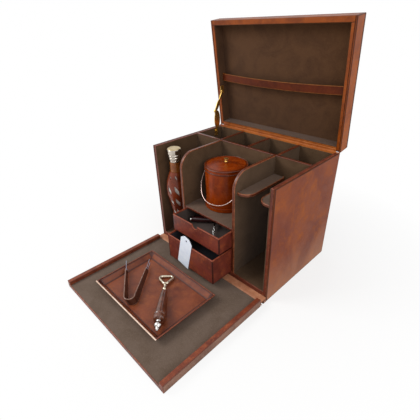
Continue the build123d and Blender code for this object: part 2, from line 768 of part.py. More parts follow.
def claw(direction_deg, tangent_side, floor_level):
    """A forked metal tip that narrows and rises towards its end, along X before it is turned."""
    low = floor_level + tongs_lift
    high = low + tongs_w
    run = tongs_claw_run
    tip_top = high + tongs_claw_rise
    tip_low = tip_top - tongs_claw_tip_w
    x0 = tongs_arm_run
    outline = make_face(Polyline((x0, low + tongs_w * claw_root_share),
                                 (x0 + run * claw_knee_share, low + tongs_w * claw_knee_up_share),
                                 (x0 + run, tip_low), (x0 + run, tip_top),
                                 (x0, high - tongs_w * claw_root_share), close=True))
    plate = extrude(Plane.XZ * outline, tongs_claw_t / 2, both=True)
    return place_on_arm(plate, direction_deg, tangent_side)


def place_on_arm(shape, direction_deg, tangent_side):
    """Put a piece drawn along X on an arm that leaves the bend in a direction."""
    offset = tangent_side * tongs_bend_r
    return Pos(tongs_x, tongs_y, 0) * Rot(0, 0, direction_deg) * Pos(0, offset, 0) * shape


def tongs(floor_level):
    """Ice tongs: a strip bent into a U, standing on edge, with metal tips."""
    low = floor_level + tongs_lift
    mid = low + tongs_w / 2
    half_t = tongs_t / 2
    ring = Cylinder(tongs_bend_r + half_t, tongs_w) - Cylinder(tongs_bend_r - half_t, tongs_w)
    big = 2 * tongs_bend_r
    first = tongs_left_deg + 90
    last = tongs_right_deg - 90 + 360
    wedge = [(0, 0)]
    steps = 4
    for i in range(steps + 1):
        angle = math.radians(first + (last - first) * i / steps)
        wedge.append((big * math.cos(angle), big * math.sin(angle)))
    keep = extrude(make_face(Polyline(*wedge, close=True)), tongs_w / 2, both=True)
    bend = Pos(tongs_x, tongs_y, mid) * (ring & keep)

    left_bar = block(0, tongs_arm_run, -half_t, half_t, low, low + tongs_w)
    left = bend + place_on_arm(left_bar, tongs_left_deg, 1)
    right_bar = block(tongs_split_gap, tongs_arm_run, -half_t, half_t, low, low + tongs_w)
    save("tongs_left_arm", left)
    save("tongs_right_arm", place_on_arm(right_bar, tongs_right_deg, -1))
    save("tongs_left_claw", claw(tongs_left_deg, 1, floor_level))
    save("tongs_right_claw", claw(tongs_right_deg, -1, floor_level))


def opener(floor_level):
    """A bottle opener: a wire ring head, two beads, a turned wooden handle and a metal finial."""
    start_z = floor_level + opener_wire_r + opener_lift
    place = Pos(opener_x, opener_y, start_z) * Rot(0, 0, opener_turn_deg)
    place = place * Rot(0, -opener_tilt_deg, 0)
    half = opener_head_w / 2
    back = -opener_head_back
    front = opener_head_front
    loop = FilletPolyline((back, half), (front, 0), (back, -half),
                          radius=opener_head_corner_r, close=True)
    section = Plane(origin=loop @ 0, z_dir=loop % 0) * Circle(opener_wire_r)
    ring = sweep(section, path=loop)
    neck_x0 = front - opener_wire_r
    neck = Pos((neck_x0 + opener_neck_run) / 2, 0, 0) * Rot(0, 90, 0)
    head = ring + neck * Cylinder(opener_neck_r, opener_neck_run - neck_x0)
    for share, radius in zip(opener_bead_shares, (opener_ball_r, opener_big_ball_r)):
        head += Pos(opener_neck_run * share, 0, 0) * Sphere(radius)
    save("opener_head", place * head)

    handle = [(opener_neck_run + opener_handle_run * a, opener_handle_r * b)
              for a, b in opener_handle_shares]
    save("opener_handle", place * turned_along_x(handle))
    finial_x = opener_neck_run + opener_handle_run
    finial = [(finial_x + opener_finial_run * a, opener_finial_r * b)
              for a, b in opener_finial_shares]
    save("opener_finial", place * turned_along_x(finial))


def turned_along_x(points):
    """A turned piece about the X line: points are (place along X, radius)."""
    return revolve(make_face(Polyline(*points, close=True)), Axis.X)


def corkscrew():
    """A corkscrew lying in the upper drawer: a cross handle with metal ends, and a worm."""
    z = upper_drawer_z + drawer_floor_t + corkscrew_handle_r
    place = Pos(corkscrew_x, corkscrew_y, z) * Rot(0, 0, corkscrew_turn_deg)
    half = corkscrew_handle_l / 2
    grip_half = half - corkscrew_cap_run
    grip = [(-grip_half, 0)] + [(grip_half * a, corkscrew_handle_r * b)
                                for a, b in corkscrew_grip_shares] + [(grip_half, 0)]
    save("corkscrew_grip", place * turned_along_x(grip))
    ends = []
    for side in (-1, 1):
        end = [(side * (grip_half + corkscrew_cap_run * a), corkscrew_handle_r * b)
               for a, b in corkscrew_end_shares]
        ends.append(place * turned_along_x(end))
    save("corkscrew_ends", *ends)

    shank_y0 = -corkscrew_handle_r * corkscrew_shank_root_share
    shank_y1 = -corkscrew_handle_r - corkscrew_shank_run
    shank = Pos(corkscrew_shank_at, (shank_y0 + shank_y1) / 2, 0) * Rot(90, 0, 0)
    metal = shank * Cylinder(corkscrew_shank_r, shank_y0 - shank_y1)
    metal -= turned_along_x(grip)
    helix = Helix(worm_pitch, worm_run, worm_r)
    section = Plane(origin=helix @ 0, z_dir=helix % 0) * Circle(worm_wire_r)
    worm = sweep(section, path=helix, is_frenet=True)
    worm_start = Pos(corkscrew_shank_at, shank_y1 + worm_overlap, 0) * Rot(90, 0, 0)
    root = Cylinder(worm_r + worm_wire_r + worm_root_step, worm_overlap)
    save("corkscrew_worm", place * (metal + worm_start * worm + worm_start * root))


def tag():
    """A blank paper tag with clipped corners and a hole, leaning in front of the lower drawer."""
    front = drawer_closed_y - lower_drawer_travel - tag_gap
    half = tag_w / 2
    outline = make_face(Polyline((-half, 0), (half, 0), (half, tag_h - tag_clip),
                                 (half - tag_clip, tag_h), (-half + tag_clip, tag_h),
                                 (-half, tag_h - tag_clip), close=True))
    sheet = extrude(Plane.XZ * outline, tag_t)
    hole_z = tag_h - tag_clip
    sheet -= Pos(0, -tag_t / 2, hole_z) * Rot(90, 0, 0) * Cylinder(tag_hole_r, tag_t)
    sheet = Rot(0, tag_lean_deg, 0) * sheet
    low = tag_low_z - sheet.bounding_box().min.Z
    save("paper_tag", Pos(tag_x, front, low) * sheet)


os.makedirs("parts", exist_ok=True)
base_and_walls()
dividers()
partitions()
shelves()
drawer("lower_drawer", lower_drawer_z, lower_drawer_h, lower_drawer_travel, False)
drawer("upper_drawer", upper_drawer_z, upper_drawer_h, upper_drawer_travel, True)
lid()
stay()
flap()
bucket()
bottle()
tray_floor = tray()
tongs(tray_floor)
opener(tray_floor)
corkscrew()
tag()
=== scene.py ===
import bpy
import json
import math
import numpy as np
from mathutils import Matrix, Vector


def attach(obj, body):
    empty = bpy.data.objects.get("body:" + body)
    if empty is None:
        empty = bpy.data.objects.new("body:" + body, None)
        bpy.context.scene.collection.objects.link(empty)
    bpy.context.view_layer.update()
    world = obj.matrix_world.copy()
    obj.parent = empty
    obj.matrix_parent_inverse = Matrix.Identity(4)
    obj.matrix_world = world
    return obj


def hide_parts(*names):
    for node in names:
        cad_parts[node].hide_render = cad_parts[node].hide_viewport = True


# A leather travel bar case, open, with its tools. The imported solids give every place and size;
# this script gives them rounded edges, seams, beads and finishes. Shapes are worked out in
# millimetres and become metres when a mesh is made.
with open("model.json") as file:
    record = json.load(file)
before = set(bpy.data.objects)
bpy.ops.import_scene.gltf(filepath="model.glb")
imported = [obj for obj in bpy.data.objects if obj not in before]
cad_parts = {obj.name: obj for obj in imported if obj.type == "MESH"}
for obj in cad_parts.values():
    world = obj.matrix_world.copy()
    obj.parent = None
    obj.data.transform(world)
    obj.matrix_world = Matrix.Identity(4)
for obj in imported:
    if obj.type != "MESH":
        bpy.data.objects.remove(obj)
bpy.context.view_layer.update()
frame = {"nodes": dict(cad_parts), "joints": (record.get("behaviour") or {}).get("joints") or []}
scene = bpy.context.scene
nodes = frame["nodes"]
MM = 0.001

# Case sizes in millimetres: half widths along X, fronts and backs along Y, heights along Z
HALF_W = 240.0
INNER_W = 226.0
LINED_W = 224.8
FRONT, BACK = -160.0, 160.0
BACK_INNER = 146.0
TOP = 360.0
SKIN = 5.0
GROOVE = 0.5
BASE_T = 14.0
FLOOR_TOP = 28.0
NOSE_Y, NOSE_R = -179.0, 7.0
FLAP_REAR, FLAP_END = -186.4, -531.6
LID_FRONT = -186.0
LID_LOW, LID_HIGH = 360.3, 404.0
LID_PANEL = 397.0
CROSS_FRONT, CROSS_BACK = 21.0, 29.0
LINED_BACK = 144.8
PARTITION_FRONT = -158.0
PARTITION_R = 50.0
# Where the skins, hinge strips, beads and ledges run
SKIN_IN = HALF_W - SKIN
HIDE_LOW = 0.4
TONGUE_FRONT, TONGUE_TOP = -174.2, 12.9
NOSE_LEATHER_T = 0.9
STRIP_T = 3.0
RIM_W = 14.0
RIDGES, RIDGE_H = 2, 1.0
DIVIDERS_X = (-113.0, 0.0, 113.0)
PARTITIONS_X = (-108.0, 108.0)
BEAD_HALF, BEAD_LOW = 4.4, 357.6
BEAD_T, BEAD_R, BEAD_INSET = 3.4, 1.6, 1.2
LEDGE_FRONT, LEDGE_BEAD_Z = -147.0, 300.2
# The strap: where its middle line lies with the lid closed, its section, and how slack it is
STRAP_Y, STRAP_Z = -10.0, 378.6
STRAP_W, STRAP_T = 24.0, 2.2
STRAP_SAG, STRAP_BOW = 5.0, 7.0
# The drawers and the tray
DRAWER_HALF_X, DRAWER_HALF_Y = 101.5, 74.5
DRAWER_WALL, DRAWER_FLOOR_T = 4.0, 4.0
TRAY_MIDDLE = (-11.5, -370.5)
TRAY_HALF_X, TRAY_HALF_Y = 137.5, 90.5
LIP_LOW, LIP_TOP = 31.9, 34.3
# The bucket's and the cap's feet, and the opener's and the tongs' own lines
BUCKET = (-17.0, -51.0, 184.6)
PIPING_R = 1.5
CAP = (-186.0, -118.0, 306.3)
OPENER = (-26.5, -313.0, 21.7)
OPENER_TURN_DEG, OPENER_TILT_DEG = -44.3, 4.4
HANDLE_R, HANDLE_START, HANDLE_RUN = 16.5, 60.0, 112.0
FINIAL_R, FINIAL_RUN = 10.0, 35.0
TONGS = np.array([-29.0, -437.0, 29.2])
TONGS_R = 15.0
LEFT_ARM_DEG, RIGHT_ARM_DEG = 146.8, 130.5
ARM_RUN, ARM_STEPS, BEND_STEPS = 124.0, 12, 15
PRONG_START, PRONG_END = 118.0, 158.0
PRONG_GAP, PRONG_PART, PRONG_CURL = 4.5, 2.5, 4.0
# Extra grid lines at these distances from an edge, where the finishes change
CORNER_MARKS = (0.8, 2.0, 4.0, 7.0, 12.0)
RIM_STEPS = 3
SHARP_DEG = 42
FAR = 99.0  # the edge distance of a point that is near no edge


def joint_named(name):
    """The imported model's joint of that name."""
    return next(j for j in frame["joints"] if j["name"] == name)


def linear(text):
    """An sRGB hex colour as the linear colour that a shader takes."""
    parts = [int(text[i:i + 2], 16) / 255 for i in (0, 2, 4)]
    return tuple(p / 12.92 if p <= 0.04045 else ((p + 0.055) / 1.055) ** 2.4 for p in parts) + (1.0,)


# Camera, from the straight edges of the photographed case: its angles, place, lens and shift

camera_data = bpy.data.cameras.new("camera")
camera = bpy.data.objects.new("camera", camera_data)
scene.collection.objects.link(camera)
azimuth, elevation, roll = 0.802833, 0.532546, -0.030799
back = Vector((math.sin(azimuth) * math.cos(elevation), -math.cos(azimuth) * math.cos(elevation),
               math.sin(elevation)))
level = (-back).cross(Vector((0, 0, 1))).normalized()
above = level.cross(-back)
sideways = math.cos(roll) * level + math.sin(roll) * above
upright = -math.sin(roll) * level + math.cos(roll) * above
turned_to = Matrix((sideways, upright, back)).transposed().to_4x4()
turned_to.translation = Vector((0.606926, -0.724506, 0.697169))
camera.matrix_world = turned_to
camera_data.sensor_width = 36
camera_data.lens = 27.290
camera_data.shift_x = -0.00254
camera_data.shift_y = 0.00099
scene.camera = camera


# Finishes


def add(tree, kind, settings=None, links=None):
    """Adds a node: settings are its options or its input sockets' values, links feed its inputs."""
    node = tree.nodes.new("ShaderNode" + kind)
    for key, value in (settings or {}).items():
        if isinstance(key, int) or key in node.inputs:
            node.inputs[key].default_value = value
        else:
            setattr(node, key, value)
    for key, socket in (links or {}).items():
        tree.links.new(socket, node.inputs[key])
    return node


def new_finish(name):
    """An empty material of that name, with its node tree and its shader."""
    material = bpy.data.materials.new(name)
    material.use_nodes = True
    return material, material.node_tree, material.node_tree.nodes["Principled BSDF"]


# A noise of scale 1000 / size repeats about every size millimetres. The real pores and nap are finer
# than the render can show, so they are drawn as coarse as this:
PORE_MM, NAP_MM, STROKE_MM = 1.6, 3, 60
# How far a worn edge wanders, in millimetres, and how far clouds of dye stir the line of the paler foot, a
# painted reflection of the floor, in metres
RAGGED_MM, STIR = 3.0, 0.16


def leather(name, base, dark, light, cloud=85.0, patch=22.0, deep=0.8, pale=0.6, burnish=None,
            burnish_mm=(1.5, 5.0), worn=None, worn_mm=(0.2, 1.3), rough=0.42, coat=0.15, bump=0.25,
            foot=None, foot_mm=(-60.0, 140.0), shine=0.3):
    """Waxed hide: slow clouds of dye and small patches of wear over the base colour, darker where
    an edge was burnished, paler along an edge where it has rubbed and, on some hides, also as a painted
    highlight on the rounded edge, with pores and fine creases as a low relief. A hide with a foot
    colour turns to it near the ground: a painted reflection of the pale floor on its lower part."""
    material, tree, surface = new_finish(name)
    place = add(tree, "TexCoord").outputs["Object"]
    clouds = add(tree, "TexNoise", {"Scale": 1000 / cloud, "Detail": 4.0, "Roughness": 0.6,
                                    "Distortion": 0.5}, {"Vector": place}).outputs[0]
    patches = add(tree, "TexNoise", {"Scale": 1000 / patch, "Detail": 6.0, "Roughness": 0.72,
                                     "Distortion": 0.3}, {"Vector": place}).outputs[0]
    deep_share = add(tree, "MapRange", {"From Min": 0.44, "From Max": 0.66, "To Max": deep},
                     {"Value": clouds}).outputs[0]
    pale_share = add(tree, "MapRange", {"From Min": 0.5, "From Max": 0.78, "To Max": pale},
                     {"Value": patches}).outputs[0]
    tone = add(tree, "Mix", {"data_type": "RGBA", 6: linear(base), 7: linear(dark)},
               {0: deep_share}).outputs[2]
    tone = add(tree, "Mix", {"data_type": "RGBA", 7: linear(light)},
               {0: pale_share, 6: tone}).outputs[2]
    # The foot colour is a painted reflection of the pale floor: the hide turns to it towards the bottom
    if foot:
        height = add(tree, "SeparateXYZ", None, {"Vector": place}).outputs["Z"]
        stirred = add(tree, "Math", {"operation": "MULTIPLY_ADD", 1: STIR},
                      {0: clouds, 2: height}).outputs[0]
        low_share = add(tree, "MapRange", {"From Min": foot_mm[1] * MM + STIR / 2,
                                           "From Max": foot_mm[0] * MM + STIR / 2, "To Max": 0.85},
                        {"Value": stirred}).outputs[0]
        tone = add(tree, "Mix", {"data_type": "RGBA", 7: linear(foot)},
                   {0: low_share, 6: tone}).outputs[2]
    if burnish or worn:
        edge = add(tree, "Attribute", {"attribute_name": "edge_mm"}).outputs["Fac"]
        ragged = add(tree, "Math", {"operation": "MULTIPLY_ADD", 1: -RAGGED_MM},
                     {0: patches, 2: edge}).outputs[0]
        ragged = add(tree, "Math", {"operation": "ADD", 1: RAGGED_MM / 2}, {0: ragged}).outputs[0]
    for colour, (near, far) in ((burnish, burnish_mm), (worn, worn_mm)):
        if colour:
            share = add(tree, "MapRange", {"From Min": near, "From Max": far, "To Min": 0.9,
                                           "To Max": 0.0}, {"Value": ragged}).outputs[0]
            tone = add(tree, "Mix", {"data_type": "RGBA", 7: linear(colour)},
                       {0: share, 6: tone}).outputs[2]
    tree.links.new(tone, surface.inputs["Base Color"])
    dull = add(tree, "MapRange", {"From Min": 0.3, "From Max": 0.7, "To Min": rough - 0.07,
                                  "To Max": rough + 0.12}, {"Value": patches}).outputs[0]
    tree.links.new(dull, surface.inputs["Roughness"])
    surface.inputs["Specular IOR Level"].default_value = shine
    surface.inputs["Coat Weight"].default_value = coat
    surface.inputs["Coat Roughness"].default_value = 0.3
    pores = add(tree, "TexVoronoi", {"Scale": 1000 / PORE_MM}, {"Vector": place}).outputs[0]
    relief = add(tree, "Math", {"operation": "MULTIPLY_ADD", 1: 0.35},
                 {0: pores, 2: patches}).outputs[0]
    rise = add(tree, "Bump", {"Strength": bump, "Distance": 0.0012}, {"Height": relief}).outputs[0]
    tree.links.new(rise, surface.inputs["Normal"])
    return material


def suede(name, base, dark, light, offset=(0.0, 0.0, 0.0)):
    """Brushed suede: a dull nap with soft pale and dark strokes where it was rubbed each way."""
    material, tree, surface = new_finish(name)
    place = add(tree, "TexCoord").outputs["Object"]
    place = add(tree, "Mapping", {"Location": offset}, {"Vector": place}).outputs[0]
    strokes = add(tree, "TexNoise", {"Scale": 1000 / STROKE_MM, "Detail": 3.0, "Roughness": 0.6,
                                     "Distortion": 0.8}, {"Vector": place}).outputs[0]
    nap = add(tree, "TexNoise", {"Scale": 1000 / NAP_MM, "Detail": 5.0, "Roughness": 0.75},
              {"Vector": place}).outputs[0]
    dark_share = add(tree, "MapRange", {"From Min": 0.42, "From Max": 0.66, "To Max": 0.7},
                     {"Value": strokes}).outputs[0]
    light_share = add(tree, "MapRange", {"From Min": 0.48, "From Max": 0.72, "To Max": 0.55},
                      {"Value": nap}).outputs[0]
    tone = add(tree, "Mix", {"data_type": "RGBA", 6: linear(base), 7: linear(dark)},
               {0: dark_share}).outputs[2]
    tone = add(tree, "Mix", {"data_type": "RGBA", 7: linear(light)},
               {0: light_share, 6: tone}).outputs[2]
    tree.links.new(tone, surface.inputs["Base Color"])
    surface.inputs["Roughness"].default_value = 0.95
    surface.inputs["Specular IOR Level"].default_value = 0.15
    surface.inputs["Sheen Weight"].default_value = 0.2
    surface.inputs["Sheen Roughness"].default_value = 0.5
    rise = add(tree, "Bump", {"Strength": 0.35, "Distance": 0.0006}, {"Height": nap}).outputs[0]
    tree.links.new(rise, surface.inputs["Normal"])
    return material


def metal(name, base, stain, rough=0.16, spread=0.12, cloud=14.0):
    """Handled metal: a clear colour with faint stains, and a shine that varies where it was touched."""
    material, tree, surface = new_finish(name)
    place = add(tree, "TexCoord").outputs["Object"]
    smears = add(tree, "TexNoise", {"Scale": 1000 / cloud, "Detail": 5.0, "Roughness": 0.65,
                                    "Distortion": 0.6}, {"Vector": place}).outputs[0]
    share = add(tree, "MapRange", {"From Min": 0.48, "From Max": 0.72, "To Max": 0.8},
                {"Value": smears}).outputs[0]
    tone = add(tree, "Mix", {"data_type": "RGBA", 6: linear(base), 7: linear(stain)},
               {0: share}).outputs[2]
    tree.links.new(tone, surface.inputs["Base Color"])
    shine = add(tree, "MapRange", {"From Min": 0.35, "From Max": 0.7, "To Min": rough,
                                   "To Max": rough + spread}, {"Value": smears}).outputs[0]
    tree.links.new(shine, surface.inputs["Roughness"])
    surface.inputs["Metallic"].default_value = 1.0
    return material


def plain(name, base, stain, rough=0.5, coat=0.0, cloud=12.0, stretch=(1.0, 1.0, 1.0),
          see_through=0.0):
    """A smooth stuff with a faint cloud or grain of a second colour, drawn out along one way."""
    material, tree, surface = new_finish(name)
    place = add(tree, "TexCoord").outputs["Object"]
    place = add(tree, "Mapping", {"Scale": stretch}, {"Vector": place}).outputs[0]
    grain = add(tree, "TexNoise", {"Scale": 1000 / cloud, "Detail": 5.0, "Roughness": 0.6},
                {"Vector": place}).outputs[0]
    share = add(tree, "MapRange", {"From Min": 0.42, "From Max": 0.64}, {"Value": grain}).outputs[0]
    tone = add(tree, "Mix", {"data_type": "RGBA", 6: linear(base), 7: linear(stain)},
               {0: share}).outputs[2]
    tree.links.new(tone, surface.inputs["Base Color"])
    shine = add(tree, "MapRange", {"From Min": 0.35, "From Max": 0.7, "To Min": rough,
                                   "To Max": rough + 0.1}, {"Value": grain}).outputs[0]
    tree.links.new(shine, surface.inputs["Roughness"])
    surface.inputs["Coat Weight"].default_value = coat
    surface.inputs["Coat Roughness"].default_value = 0.12
    surface.inputs["Transmission Weight"].default_value = see_through
    return material


# Case hide: tan bridle leather, mottled to mahogany, with burnished borders; paler near the ground as a
# painted reflection of the pale floor
case_hide = leather("bridle_leather_case", "823a0e", "621f09", "a8580f", cloud=130.0, patch=42.0,
                    deep=0.8, pale=0.75, burnish="34140a", burnish_mm=(0.8, 3.6), foot="b48062",
                    rough=0.42, coat=0.05, shine=0.2)
# Lid sides: the same hide, more orange where it was handled
lid_hide = leather("bridle_leather_lid", "984a0e", "6c2c0a", "b8661a", burnish="3c180a",
                   burnish_mm=(0.8, 3.4), rough=0.45, coat=0.05, shine=0.22)
# Core edges: dyed and burnished board edges, a redder brown with a pale corner: partly rubbed, partly a
# painted highlight on the rounded edge
edge_hide = leather("burnished_edge_leather", "6e3120", "4a1c12", "8c4524", cloud=60, patch=14,
                    worn="ab643c", worn_mm=(-0.1, 0.8), rough=0.4, coat=0.1)
# Beads: narrow turned-over edges, darker, their crests paler: partly rubbed, partly a painted highlight on
# the rounded crest
bead_hide = leather("bead_leather", "5c2614", "40160b", "74381c", cloud=40, patch=12, worn="a4623c",
                    worn_mm=(-0.3, 0.5), rough=0.34, coat=0.2)
# Lid rims: orange-brown board edges with a dark burnished line along each border
rim_hide = leather("rim_leather", "883f08", "602706", "a45614", cloud=60, patch=14,
                   burnish="3c180a", burnish_mm=(-0.6, 1.2), rough=0.42, coat=0.06, shine=0.22)
# Hinge leather: soft orange-tan strips, salmon where they bend
strip_hide = leather("hinge_leather", "a85c20", "833e12", "c67c44", cloud=50, patch=12,
                     burnish="7a3010", burnish_mm=(-0.8, 0.7), rough=0.45, coat=0.05)
# Front hinge strip: the same leather, faded and pinker where the flap bends it
front_strip_hide = leather("faded_hinge_leather", "bc805e", "985c3e", "d4a284", cloud=50, patch=14,
                           burnish="6a2a18", burnish_mm=(-0.8, 1.0), rough=0.5, coat=0.03)
# Strap: red-brown skiver, paler along its edges
strap_hide = leather("strap_leather", "582106", "3f1403", "6a300e", cloud=50, patch=12,
                     worn="8a5222", worn_mm=(0.1, 0.8), rough=0.5, coat=0.03, shine=0.15)
# Flap board: its rubbed sides have lost their colour
board_hide = leather("rubbed_board_leather", "86604e", "644032", "a5897a", cloud=50, patch=12,
                     burnish="5f2c1c", burnish_mm=(0.2, 2.0), rough=0.5, coat=0.03)
# Flap rims: handled most, so their dye is thin and orange in places
flap_rim_hide = leather("flap_rim_leather", "7c3a22", "54241a", "a65a34", cloud=45, patch=14, pale=0.9,
                        burnish="3e170e", burnish_mm=(-0.4, 1.2), rough=0.4, coat=0.08)
# Drawers: dark mahogany leather, worn salmon along the top edges
drawer_hide = leather("drawer_leather", "733226", "4e1a14", "a8562a", cloud=55, patch=26, pale=0.9,
                      burnish="2c0d08", burnish_mm=(0.8, 3.2), rough=0.38, coat=0.15)
# Drawer edges: the same leather rolled over, rubbed to salmon by fingers
drawer_rim_hide = leather("drawer_edge_leather", "8a4028", "6a2818", "c07a58", cloud=30, patch=10,
                          deep=0.9, rough=0.42, coat=0.1)
# Tray: brown hide, darker where its walls meet
tray_hide = leather("tray_leather", "7e3f24", "552418", "9c5a2e", cloud=80, patch=20,
                    burnish="42201a", burnish_mm=(0.8, 4.5), rough=0.38, coat=0.1)
# Tray's front lip: partly rubbed through its dye to the pale hide, partly a painted highlight, paler than
# the other lips where its edge catches the light
lit_lip_hide = leather("rubbed_lip_leather_painted_highlight", "ebcfbb", "c99f86", "f3e2d2", cloud=20, patch=6, rough=0.4)
# Bucket: chestnut hide polished to a deep shine
bucket_hide = leather("polished_bucket_leather", "8a3200", "581a00", "a44a02", cloud=60, patch=20,
                      burnish="3c1002", burnish_mm=(0.2, 2.5), rough=0.24, coat=0.08, bump=0.06, shine=0.12)
# Piping: a thin dark hide round a core, with pale spots painted on as glints of light
piping_hide = leather("piping_leather", "5c220c", "3a1206", "a06a48", cloud=20, patch=5, rough=0.25,
                      coat=0.5)
# Bottle: glazed hide, smooth and glossy, with hardly any grain
bottle_hide = leather("polished_bottle_leather", "762e10", "4c1808", "92481c", cloud=40, patch=12,
                      rough=0.2, coat=0.3, bump=0.06, shine=0.25)
# Bottle collar: a paler tan hide with a varnished look
collar_hide = leather("collar_leather", "8a4a12", "6b340c", "a25f20", cloud=30, patch=8, rough=0.34,
                      coat=0.4)
# Tongs: dark hide over a spring strip, greyed along its edges
tongs_hide = leather("tongs_leather", "4e2a1c", "351a12", "6c4030", cloud=30, patch=8,
                     worn="9a7868", worn_mm=(-0.2, 0.6), rough=0.3, coat=0.3)
# Suede lining: a dull brown nap without shine
lining_suede = suede("suede_lining", "58402a", "463019", "6a523a")
# Lid lining: the same suede, a warmer and deeper brown: painted shade, as the lining lies away from the
# light
shaded_lid_suede = suede("suede_lid_lining_painted_shade", "4e311a", "3d230f", "5e4126", offset=(0.2, 0.1, 0.4))
# Shelves: suede pressed paler by what stands on it
shelf_suede = suede("suede_shelf", "68503f", "543f31", "7c6352", offset=(0.1, 0.4, 0.0))
# Flap lining: the same suede painted greyer and paler than the rest: painted light, where the light falls
# on the flap
lit_flap_suede = suede("suede_flap_painted_light", "665549", "584739", "7a6a5e", offset=(0.3, 0.1, 0.0))
# Lower drawer's lining: nearly black, a little blue: painted shade for the dark inside of the drawer
well_suede = suede("suede_lower_drawer_painted_shade", "2d2a30", "232127", "3a3438")
# Upper drawer's lining: a dull grey brown
upper_well_suede = suede("suede_upper_drawer", "51433e", "40342f", "66564e")
# Stay and knob: polished brass, warm yellow with brown stains
brass = metal("polished_brass", "e6c070", "b58a3c", rough=0.26)
# Corkscrew and finial: polished chrome, bright with dark reflections
chrome = metal("polished_chrome", "cfccc9", "8f857c", rough=0.1, cloud=7.0)
# Opener's head: worn chrome, the yellow of its base showing through
warm_chrome = metal("worn_chrome", "cfc3ae", "8b7b64", rough=0.14, cloud=8.0)
# Bucket's bail: nickel with a painted pink cast, a reflection of the leather round it
bail_metal = metal("nickel_painted_pink_reflection", "b39a92", "7c5f58", rough=0.16)
# Bottle cap: silver plate, soft and a little tarnished
cap_metal = metal("silver_plate", "c4bbb0", "85786c", rough=0.16)
# Cap's crown: gilding worn thin, dull in patches
crown_metal = metal("worn_gilding", "c9b691", "978358", rough=0.3, spread=0.2, cloud=7.0)
# Tongs' claws: bright steel with a cold cast
claw_metal = metal("bluish_steel", "aeb2c2", "6f7284", rough=0.15)
# Bucket's liner: spun steel, evenly soft
liner_metal = metal("spun_steel", "c4c4c6", "a0a0a4", rough=0.25)
# Opener's handle: turned wood under varnish, its grain drawn out level, along the lying handle
handle_wood = plain("varnished_wood", "6a3a26", "44200f", rough=0.28, coat=0.5, cloud=5.0,
                    stretch=(0.25, 0.25, 1.0))
# Corkscrew's grip: the same, nearly black
dark_wood = plain("dark_varnished_wood", "43181a", "2a0d10", rough=0.25, coat=0.5, cloud=6.0)
# Tag: smooth bluish-white card
card = plain("blank_card", "ecf4ff", "e2ecfa", rough=0.7, cloud=18.0)
# Bottle: clear glass, seen only through the leather's windows
glass = plain("clear_glass", "d9d4cd", "c9c4bd", rough=0.04, coat=0.3, see_through=0.25)


# Shapes, worked out as whole arrays of points in millimetres


def grid_faces(rows, columns, around=False):
    """Corners of each cell of a grid of points; around joins the last column to the first."""
    r, c = np.meshgrid(np.arange(rows - 1), np.arange(columns if around else columns - 1),
                       indexing="ij")
    near, far = r * columns, (r + 1) * columns
    after = (c + 1) % columns
    return np.stack([near + c, near + after, far + after, far + c], -1).reshape(-1, 4)


def outward(shape):
    """The same shape with its faces turned out: the sum of the cones from its middle to each face
    is its volume, and a negative volume means that they face in."""
    points, faces, edge = shape
    p = points - points.mean(0)
    a, b, c, d = (p[faces[:, i]] for i in range(4))
    volume = (np.einsum("ij,ij->i", a, np.cross(b, c)) + np.einsum("ij,ij->i", a, np.cross(c, d))).sum()
    return (points, faces[:, ::-1] if volume < 0 else faces, edge)


def joined(*shapes):
    """Several shapes as one, their face numbers moved on past the points before them."""
    starts = np.cumsum([0] + [len(s[0]) for s in shapes[:-1]])
    return (np.concatenate([s[0] for s in shapes]),
            np.concatenate([s[1] + n for s, n in zip(shapes, starts)]),
            np.concatenate([s[2] for s in shapes]))


def moved(shape, change):
    """A shape with its points put through a function of all of them."""
    return outward((change(shape[0]), shape[1], shape[2]))


def piece(name, shape, finish, body="root", replaces=()):
    """Makes the mesh. Points that meet are joined, and a face whose corners meet becomes a
    triangle or is left out. edge_mm is each point's distance from an edge, for the finishes."""
    points, faces, edge = shape
    _, first, same = np.unique(np.round(points, 3), axis=0, return_index=True, return_inverse=True)
    rows = same.reshape(-1)[faces]
    meets = rows == np.roll(rows, -1, axis=1)
    count = meets.sum(1)
    whole = rows[(count == 0) & (rows[:, 0] != rows[:, 2]) & (rows[:, 1] != rows[:, 3])]
    bent = rows[count == 1][~meets[count == 1]].reshape(-1, 3)
    mesh = bpy.data.meshes.new(name)
    mesh.from_pydata((points[first] * MM).tolist(), [], whole.tolist() + bent.tolist())
    mesh.shade_smooth()
    mesh.set_sharp_from_angle(angle=math.radians(SHARP_DEG))
    marks = mesh.attributes.new("edge_mm", "FLOAT", "POINT")
    near = np.full(len(first), FAR, np.float32)
    np.minimum.at(near, same.reshape(-1), edge.astype(np.float32))
    marks.data.foreach_set("value", near)
    mesh.materials.append(finish)
    made = bpy.data.objects.new(name, mesh)
    scene.collection.objects.link(made)
    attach(made, body)
    if replaces:
        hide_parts(*replaces)
    return made


def lines_between(low, high, radius):
    """Where a face's grid lines run: closer in the rounded rims, and at the marks from each end. In
    the rim they stand at the tangents of even angles, so the arc has even steps."""
    half = (high - low) / 2
    rim = radius * (1 - np.tan(np.linspace(math.pi / 4, 0, RIM_STEPS + 1)))
    inner = radius + np.array([m for m in CORNER_MARKS if radius + m < half * 0.96])
    side = np.concatenate([rim, inner])
    return np.unique(np.round(np.concatenate([low + side, high - side]), 5))


